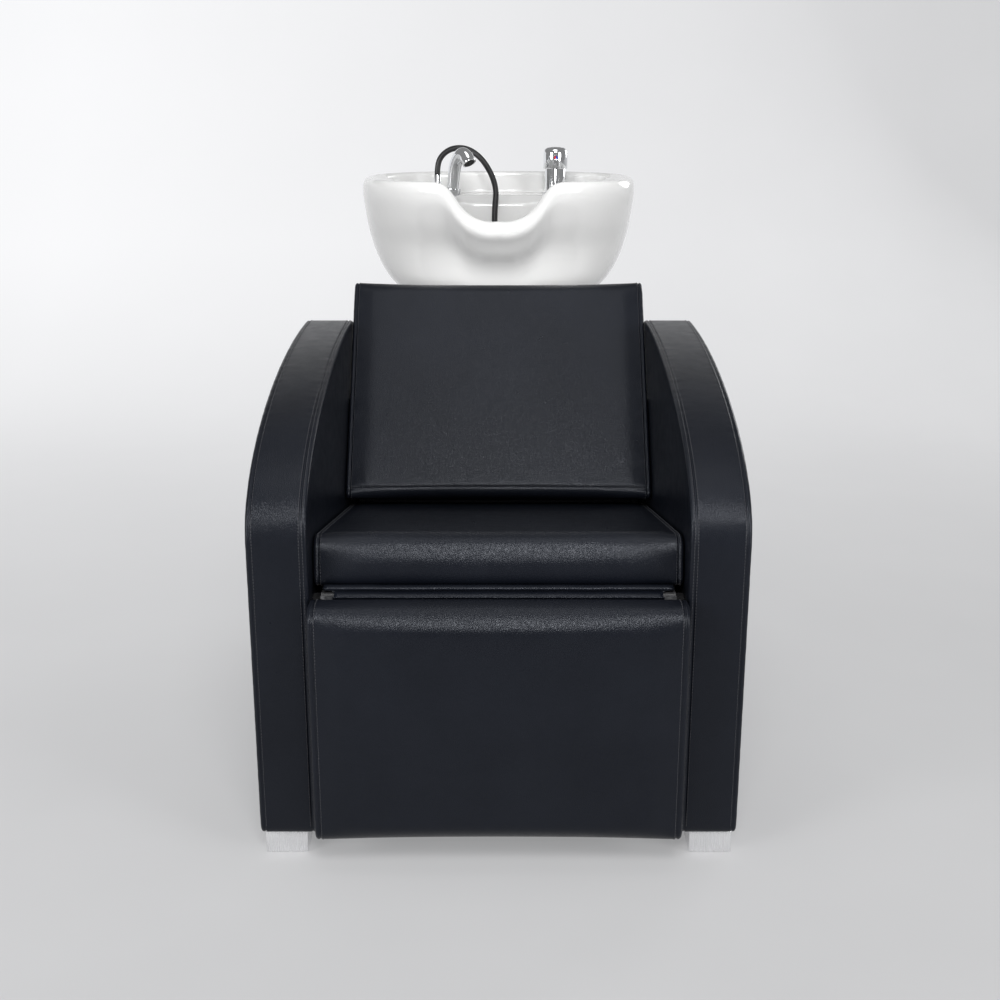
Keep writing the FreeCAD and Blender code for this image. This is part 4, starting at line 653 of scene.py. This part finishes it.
    def hem_row(self, end):
        """Stitches along the hem, which runs across the pad."""
        count = len(self.outline)
        spots = [index * count + self.hem for index, ring in enumerate(self.rings)
                 if abs(ring[0]) < end]
        foot, above = self.world(0, np.array([(0, 0), (HEM_ROW_RISE, 0)]))
        return stitch_points(self.coarse[spots] + above - foot, self.surface, lambda *_: True)


STITCH_PITCH = 4.6 * MM
STITCH_LENGTH = 3.7 * MM
STITCH_RINGS = ((-0.5, -0.34, 0.16), (-0.3, 0.18, 0.40), (0.0, 0.34, 0.46), (0.3, 0.18, 0.40),
                (0.5, -0.34, 0.16))
STITCH_SIDES = 6


def stitch_points(line, surface, shown):
    """Evenly spaced (point, direction, normal) of the stitches along a line on a surface."""
    walked = lengths_along(line)
    marks = np.arange(0, walked[-1], STITCH_PITCH)
    spots = np.stack([np.interp(marks, walked, line[:, axis]) for axis in range(3)], axis=1)
    found = []
    for index, spot in enumerate(spots[:-1]):
        place, normal, _, _ = surface.find_nearest(Vector(spot))
        if place and shown(place, normal):
            found.append((place, Vector(spots[index + 1] - spot), normal))
    return found


def stitching(name, stitches, body):
    """All the stitches of one piece, each a short thread that dives in at both ends."""
    points, faces = [], []
    for place, direction, normal in stitches:
        aim = (direction - normal * direction.dot(normal)).normalized()
        side = aim.cross(normal)
        start = len(points)
        for share, rise, radius in STITCH_RINGS:
            centre = place + aim * (share * STITCH_LENGTH) + normal * (rise * MM)
            for turn in range(STITCH_SIDES):
                angle = 2 * math.pi * turn / STITCH_SIDES
                points.append(centre + (side * math.cos(angle) + normal * math.sin(angle))
                              * (radius * MM))
        faces += ring_faces(len(STITCH_RINGS), STITCH_SIDES, start)
        last = start + (len(STITCH_RINGS) - 1) * STITCH_SIDES
        faces.append(tuple(start + turn for turn in reversed(range(STITCH_SIDES))))
        faces.append(tuple(last + turn for turn in range(STITCH_SIDES)))
    obj = add_mesh(name, points, faces, MATERIALS["stitching_thread"])
    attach(obj, body)


ARM_FRONT, ARM_REAR = -0.589, 0.101
ARM_BOTTOM, ARM_KNEE, ARM_TOP = 0.035, 0.487, 0.693
ARM_HALF = 0.043
ARM_MIDDLE = 0.307


def arm_corners():
    """Side view of an arm: upright front, quarter-ellipse top, upright rear."""
    corners = [(ARM_REAR, ARM_BOTTOM, 0.006), (ARM_FRONT, ARM_BOTTOM, 0.008)]
    for turn in np.linspace(0, 90, 24)[:-1]:
        angle = math.radians(turn)
        corners.append((ARM_REAR - (ARM_REAR - ARM_FRONT) * math.cos(angle),
                        ARM_KNEE + (ARM_TOP - ARM_KNEE) * math.sin(angle), 0))
    corners.append((ARM_REAR, ARM_TOP, 0.014))
    return corners


def held_below(half, bottom=3 * MM, rim=2 * MM):
    """What holds a cover: its underside and the edges of its end panels."""
    return lambda x, flat: (flat[:, 1] < bottom) | (np.abs(x) > half - rim)


def build_arms():
    """Both arms, with a twin row of stitches inside and a single row outside."""
    outline = rounded_loop(arm_corners(), STEP)
    for name, side in (("left", -1), ("right", 1)):
        inner, outer = -side * (ARM_HALF - 9 * MM), side * (ARM_HALF - 7 * MM)
        pad = Pad(f"{name}_arm_padding", outline, (0, 0), 0, side * ARM_MIDDLE, ARM_HALF, PAD_EDGE,
                  sorted((inner, outer)))
        held = held_below(ARM_HALF, bottom=ARM_BOTTOM + 4 * MM, rim=1 * MM)
        pad.puff(pressure=2.5, cap=5 * MM, held=held)
        pad.sew(depth=1.3 * MM, width=1.5 * MM, pucker=0.35 * MM)
        shown = lambda place, normal: place.z > ARM_BOTTOM + 0.012
        rows = [inner - ARM_ROW_GAP, inner + ARM_ROW_GAP, outer - side * ARM_ROW_GAP]
        stitching(f"{name}_arm_stitches", pad.rows(rows, shown), "chair")
        stand_for(pad.obj, f"{name}_arm_cover")


SEAT_HALF = 0.2625
REST_HALF = 0.2625
SEAT_ORIGIN, SEAT_ANGLE = (-0.555, 0.410), -10.6
BACK_ORIGIN, BACK_ANGLE = (-0.10033, 0.38374), 53
REST_ORIGIN, REST_ANGLE = (-0.587, 0.050), 90


def build_seat():
    """Seat cushion, with a twin row of stitches at each side."""
    outline = rounded_loop([(0.5, 0, 0.005), (0.5, 0.070, 0.012), (0, 0.073, 0.020),
                            (0, 0, 0.008)][::-1], STEP)
    seam = SEAT_HALF - 7.5 * MM
    pad = Pad("seat_upholstery", outline, SEAT_ORIGIN, SEAT_ANGLE, 0, SEAT_HALF, PAD_EDGE,
              (-seam, seam))
    pad.puff(pressure=3.5, cap=2.8 * MM, held=held_below(SEAT_HALF))
    pad.sew(depth=1.6 * MM, width=1.6 * MM, pucker=0.5 * MM)
    shown = lambda place, normal: normal.y < -0.3 or normal.z > 0.3
    rows = [side * seam + shift for side in (-1, 1) for shift in (-TWIN_ROW_GAP, TWIN_ROW_GAP)]
    stitching("seat_stitches", pad.rows(rows, shown), "chair")
    stand_for(pad.obj, "seat_cushion")


def build_back():
    """Back cushion, with a row of stitches at each side and along its lower hem."""
    outline = rounded_loop([(0.030, 0, 0.005), (0.433, 0, 0.010), (0.433, 0.057, 0.016),
                            (0, 0.057, 0.010)], STEP)
    seam = SEAT_HALF - 7 * MM
    pad = Pad("back_upholstery", outline, BACK_ORIGIN, BACK_ANGLE, 0, SEAT_HALF, PAD_EDGE,
              (-seam, seam), (0.017, 0.057))
    pad.puff(pressure=3.5, cap=4.5 * MM, held=held_below(SEAT_HALF))
    pad.sew(depth=1.5 * MM, width=1.5 * MM, pucker=0.5 * MM)
    shown = lambda place, normal: normal.y < -0.2 or normal.z > 0.5
    rows = [side * (seam - SINGLE_ROW_GAP) for side in (-1, 1)]
    stitches = pad.rows(rows, shown) + pad.hem_row(seam)
    stitching("back_stitches", stitches, "chair")
    stand_for(pad.obj, "back_cushion")


def build_leg_rest():
    """Leg rest cushion, which hangs upright at rest."""
    outline = rounded_loop([(0, 0, 0.008), (0.3565, 0, 0.008), (0.3565, 0.055, 0.024),
                            (0, 0.055, 0.018)], STEP)
    seam = REST_HALF - 8 * MM
    pad = Pad("leg_rest_upholstery", outline, REST_ORIGIN, REST_ANGLE, 0, REST_HALF, PAD_EDGE,
              (-seam, seam))
    pad.puff(pressure=3.0, cap=5 * MM, held=held_below(REST_HALF))
    pad.sew(depth=1.4 * MM, width=1.5 * MM, pucker=0.6 * MM)
    shown = lambda place, normal: normal.y < -0.3 or abs(normal.z) > 0.5
    rows = [side * (seam - SINGLE_ROW_GAP) for side in (-1, 1)]
    stitching("leg_rest_stitches", pad.rows(rows, shown), "leg_rest")
    stand_for(pad.obj, "leg_rest_cushion")


def build_outer_back():
    """Covered panel behind the back cushion."""
    low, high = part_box("outer_back_panel")
    outline = rounded_loop([(low.y, low.z, 0.006), (high.y, low.z, 0.006), (high.y, high.z, 0.006),
                            (low.y, high.z, 0.006)], STEP)
    half = high.x
    seam = half - 14 * MM
    pad = Pad("outer_back_upholstery", outline, (0, 0), 0, 0, half, PAD_EDGE, (-seam, seam))
    front = low.y + 4 * MM
    held = lambda x, flat: (flat[:, 0] < front) | (np.abs(x) > half - 2 * MM)
    pad.puff(pressure=2.0, cap=4 * MM, held=held)
    pad.sew(depth=1.2 * MM, width=1.5 * MM, pucker=0.4 * MM)
    shown = lambda place, normal: normal.y > 0.3
    rows = [side * seam + shift for side in (-1, 1) for shift in (-TWIN_ROW_GAP, TWIN_ROW_GAP)]
    stitching("outer_back_stitches", pad.rows(rows, shown), "chair")
    stand_for(pad.obj, "outer_back_panel")


FLAP_LINE = (
    (0.246, -0.5460, 0.3952), (0.246, -0.5540, 0.3975), (0.246, -0.5552, 0.4060),
    (0.246, -0.5570, 0.4134), (0.246, -0.5625, 0.4146), (0.246, -0.5680, 0.4142),
    (0.246, -0.5708, 0.4128), (0.246, -0.5704, 0.4100), (0.243, -0.5672, 0.4092),
    (0.236, -0.5664, 0.4076), (0.231, -0.5695, 0.4062), (0.231, -0.5755, 0.4042),
    (0.231, -0.5785, 0.4008), (0.231, -0.5803, 0.3966), (0.231, -0.5838, 0.3963),
    (0.231, -0.5868, 0.3995), (0.231, -0.5890, 0.4045), (0.231, -0.5925, 0.4078),
)
FLAP_HALF = 0.246
FLAP_THICK = 1.5 * MM
FLAP_RIPPLE = 0.3 * MM
FLAP_POINTS, FLAP_STATIONS = 81, 83


def build_flap():
    """Leather roll that bridges the gap between the seat and the leg rest."""
    line = centreline(FLAP_LINE)
    walked = lengths_along(line[:, 1:])
    marks = np.linspace(0, walked[-1], FLAP_POINTS)
    halves, *flat = [np.interp(marks, walked, line[:, axis]) for axis in range(3)]
    middle = np.stack(flat, axis=1)
    slope = np.gradient(middle, axis=0)
    slope /= np.linalg.norm(slope, axis=1, keepdims=True)
    out = np.column_stack((slope[:, 1], -slope[:, 0]))
    loop = np.concatenate((middle - out * FLAP_THICK / 2, (middle + out * FLAP_THICK / 2)[::-1]))
    halves = np.concatenate((halves, halves[::-1]))
    stations = np.linspace(-1, 1, FLAP_STATIONS)
    points = []
    count = len(loop)
    for share in stations:
        ripple = FLAP_RIPPLE * wobble(np.array([share * FLAP_HALF / 3]), 2)[0]
        points += [(share * half, y, z + ripple) for half, (y, z) in zip(halves, loop)]
    faces = ring_faces(len(stations), count)
    last = (len(stations) - 1) * count
    for spot in range(count // 2 - 1):
        quad = (spot, count - 1 - spot, count - 2 - spot, spot + 1)
        faces.append(quad)
        faces.append(tuple(last + corner for corner in reversed(quad)))
    obj = add_mesh("bridge_flap_leather", points, faces, MATERIALS["black_leather"])
    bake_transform(obj)
    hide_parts("bridge_flap")


# Bowl and fittings

def build_bowl():
    """The ceramic with the soft edges that glaze gives it."""
    obj = copy_of("bowl")
    remesh = obj.modifiers.new("even", "REMESH")
    remesh.mode = "VOXEL"
    remesh.voxel_size = 2.7 * MM
    relax = obj.modifiers.new("soften", "SMOOTH")
    relax.factor = 0.5
    relax.iterations = 5
    apply_modifiers(obj)
    obj.data.shade_smooth()
    obj.name = "bowl_glazed"
    stand_for(obj, "bowl")


# Width in millimetres of the broken edge of each hard node that shows
SOFT_EDGES = {
    "front_left_foot": 1.2, "front_right_foot": 1.2, "rear_left_foot": 1.2, "rear_right_foot": 1.2,
    "mixer_body": 0.7, "mixer_handle": 0.8, "mixer_stem": 0.3, "handset_body": 0.5,
    "handset_holder": 0.6, "hose_outlet": 0.6, "drain_flange": 0.4, "hair_strainer": 0.3,
    "tilt_lock_lever": 0.8, "column_shell": 0.6, "column_base_plate": 0.8, "column_head": 0.6,
    "column_rear_cover": 0.5, "waste_pipe": 0.5, "stop_valves": 0.5,
}


EDGE_ANGLE = math.radians(38)


def soften_edges(node, width):
    """A copy of a hard node whose edges are broken the way tooling leaves them."""
    obj = copy_of(node)
    bevel = obj.modifiers.new("edges", "BEVEL")
    bevel.width = width * MM
    bevel.segments = 2
    bevel.limit_method = "ANGLE"
    bevel.angle_limit = EDGE_ANGLE
    bevel.use_clamp_overlap = True
    apply_modifiers(obj)
    obj.data.shade_smooth()
    obj.data.set_sharp_from_angle(angle=EDGE_ANGLE)
    return stand_for(obj, node)


# Hoses

SPRAY_ROUTE = (
    (-0.130, 0.581, 0.930), (-0.130, 0.581, 0.9524), (-0.1176, 0.581, 0.9732),
    (-0.0956, 0.580, 0.9852), (-0.066, 0.576, 0.9846), (-0.037, 0.564, 0.966),
    (-0.015, 0.545, 0.934), (-0.004, 0.517, 0.901), (-0.008, 0.495, 0.864), (-0.008, 0.475, 0.818),
    (0.014, 0.443, 0.768), (0.045, 0.396, 0.731), (0.051, 0.346, 0.7145), (0.038, 0.297, 0.7142),
    (0.002, 0.264, 0.7146), (-0.044, 0.260, 0.7148), (-0.084, 0.285, 0.7144),
    (-0.105, 0.331, 0.716), (-0.107, 0.383, 0.731), (-0.103, 0.431, 0.772),
    (-0.0999, 0.4802, 0.8413), (-0.097, 0.477, 0.872),
)
HOT_ROUTE = (
    (0.128, 0.558, 0.846), (0.128, 0.558, 0.7966), (0.1204, 0.5497, 0.7409),
    (0.0994, 0.5248, 0.6853), (0.0735, 0.4916, 0.6328), (0.0616, 0.4733, 0.5648),
    (0.0588, 0.4684, 0.4876), (0.063, 0.4684, 0.4134), (0.0679, 0.4717, 0.3423),
    (0.07, 0.475, 0.2836), (0.07, 0.475, 0.228),
)
COLD_ROUTE = (
    (0.112, 0.558, 0.846), (0.112, 0.558, 0.7966), (0.091, 0.5514, 0.7471),
    (0.0525, 0.5331, 0.7008), (0.0105, 0.5065, 0.6575), (-0.0294, 0.4816, 0.605),
    (-0.056, 0.4717, 0.537), (-0.0658, 0.4684, 0.469), (-0.0644, 0.4684, 0.401),
    (-0.0686, 0.4725, 0.3392), (-0.07, 0.475, 0.2836), (-0.07, 0.475, 0.228),
)
MIXED_ROUTE = (
    (0.12, 0.574, 0.846), (0.12, 0.574, 0.8086), (0.095, 0.574, 0.7753), (0.05, 0.5756, 0.7607),
    (-0.01, 0.5772, 0.7576), (-0.065, 0.5788, 0.7638), (-0.108, 0.5804, 0.783),
    (-0.13, 0.581, 0.818), (-0.13, 0.581, 0.85),
)
WASTE_ROUTE = (
    (0, 0.366, 0.582), (0, 0.366, 0.5201), (0, 0.3539, 0.4549), (0, 0.339, 0.3898),
    (0, 0.322, 0.327), (0, 0.308, 0.2669), (0, 0.317, 0.2161), (0, 0.343, 0.1708),
    (0, 0.383, 0.1376), (0, 0.432, 0.12), (0, 0.483, 0.12),
)
HOSE_SIDES = 20
SPRAY_RADIUS, SUPPLY_RADIUS, WASTE_RADIUS = 6 * MM, 5 * MM, 20 * MM


def centreline(route):
    """Points of the smooth spline that has a hose's route as its control points."""
    curve = bpy.data.curves.new("route", "CURVE")
    curve.dimensions = "3D"
    spline = curve.splines.new("NURBS")
    spline.points.add(len(route) - 1)
    for point, place in zip(spline.points, route):
        point.co = (*place, 1)
    spline.order_u = 3
    spline.use_endpoint_u = True
    spline.resolution_u = 14
    holder = bpy.data.objects.new("route", curve)
    bpy.context.collection.objects.link(holder)
    mesh = bpy.data.meshes.new_from_object(holder)
    points = coordinates(mesh)
    bpy.data.objects.remove(holder)
    bpy.data.curves.remove(curve)
    bpy.data.meshes.remove(mesh)
    return points


def tube(name, points, radius, material):
    """A round hose along points, unwrapped by turn and by metres along it."""
    aims = np.gradient(points, axis=0)
    aims /= np.linalg.norm(aims, axis=1, keepdims=True)
    side = Vector(aims[0]).orthogonal().normalized()
    places = []
    for place, aim in zip(points, aims):
        aim = Vector(aim)
        side = (side - aim * side.dot(aim)).normalized()
        other = aim.cross(side)
        for turn in range(HOSE_SIDES):
            angle = 2 * math.pi * turn / HOSE_SIDES
            out = side * math.cos(angle) + other * math.sin(angle)
            places.append(Vector(place) + out * radius)
    faces = ring_faces(len(points), HOSE_SIDES)
    last = (len(points) - 1) * HOSE_SIDES
    faces.append(tuple(reversed(range(HOSE_SIDES))))
    faces.append(tuple(range(last, last + HOSE_SIDES)))
    obj = add_mesh(name, places, faces, material)
    walked = lengths_along(points)
    layer = obj.data.uv_layers.new(name="UVMap")
    for face in obj.data.polygons:
        turns = [vertex % HOSE_SIDES for vertex in face.vertices]
        wraps = max(turns) == HOSE_SIDES - 1 and min(turns) == 0
        for corner, vertex in zip(face.loop_indices, face.vertices):
            turn = vertex % HOSE_SIDES
            if wraps and turn == 0:
                turn = HOSE_SIDES
            layer.data[corner].uv = (turn / HOSE_SIDES, walked[vertex // HOSE_SIDES])
    return obj


def lay_hose(node, route, radius, bends=None):
    """One hose along its route; where it crosses a joint it stays where it is laid, on no body."""
    points = centreline(route)
    obj = tube(f"{node}_tube", points, radius, MATERIALS[slots[node]])
    if bends:
        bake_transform(obj)
        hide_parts(node)
    else:
        stand_for(obj, node)


def build_hoses(dressed):
    """All hoses along their routes; the mixed water hose rides on its node's body, the others stay
    where they are laid.
    """
    lay_hose("spray_hose", SPRAY_ROUTE, SPRAY_RADIUS,
             ("bowl_unit", "handset", SPRAY_ROUTE[0], SPRAY_ROUTE[-1]))
    supply = ("chair", "bowl_unit", (0, 0.47, 0.45), (0, 0.55, 0.80))
    lay_hose("hot_supply_hose", HOT_ROUTE, SUPPLY_RADIUS, supply)
    lay_hose("cold_supply_hose", COLD_ROUTE, SUPPLY_RADIUS, supply)
    lay_hose("mixed_water_hose", MIXED_ROUTE, SUPPLY_RADIUS)
    lay_hose("waste_hose", WASTE_ROUTE, WASTE_RADIUS,
             ("chair", "bowl_unit", (0, 0.33, 0.36), (0, 0.366, 0.575)))


for label, node in nodes.items():
    node.data.materials.clear()
    node.data.materials.append(MATERIALS[STAINED.get(label, slots[label])])

add_camera()
add_stage()
build_hoses({label: soften_edges(label, width) for label, width in SOFT_EDGES.items()})
build_arms()
build_seat()
build_back()
build_leg_rest()
build_outer_back()
build_flap()
build_bowl()
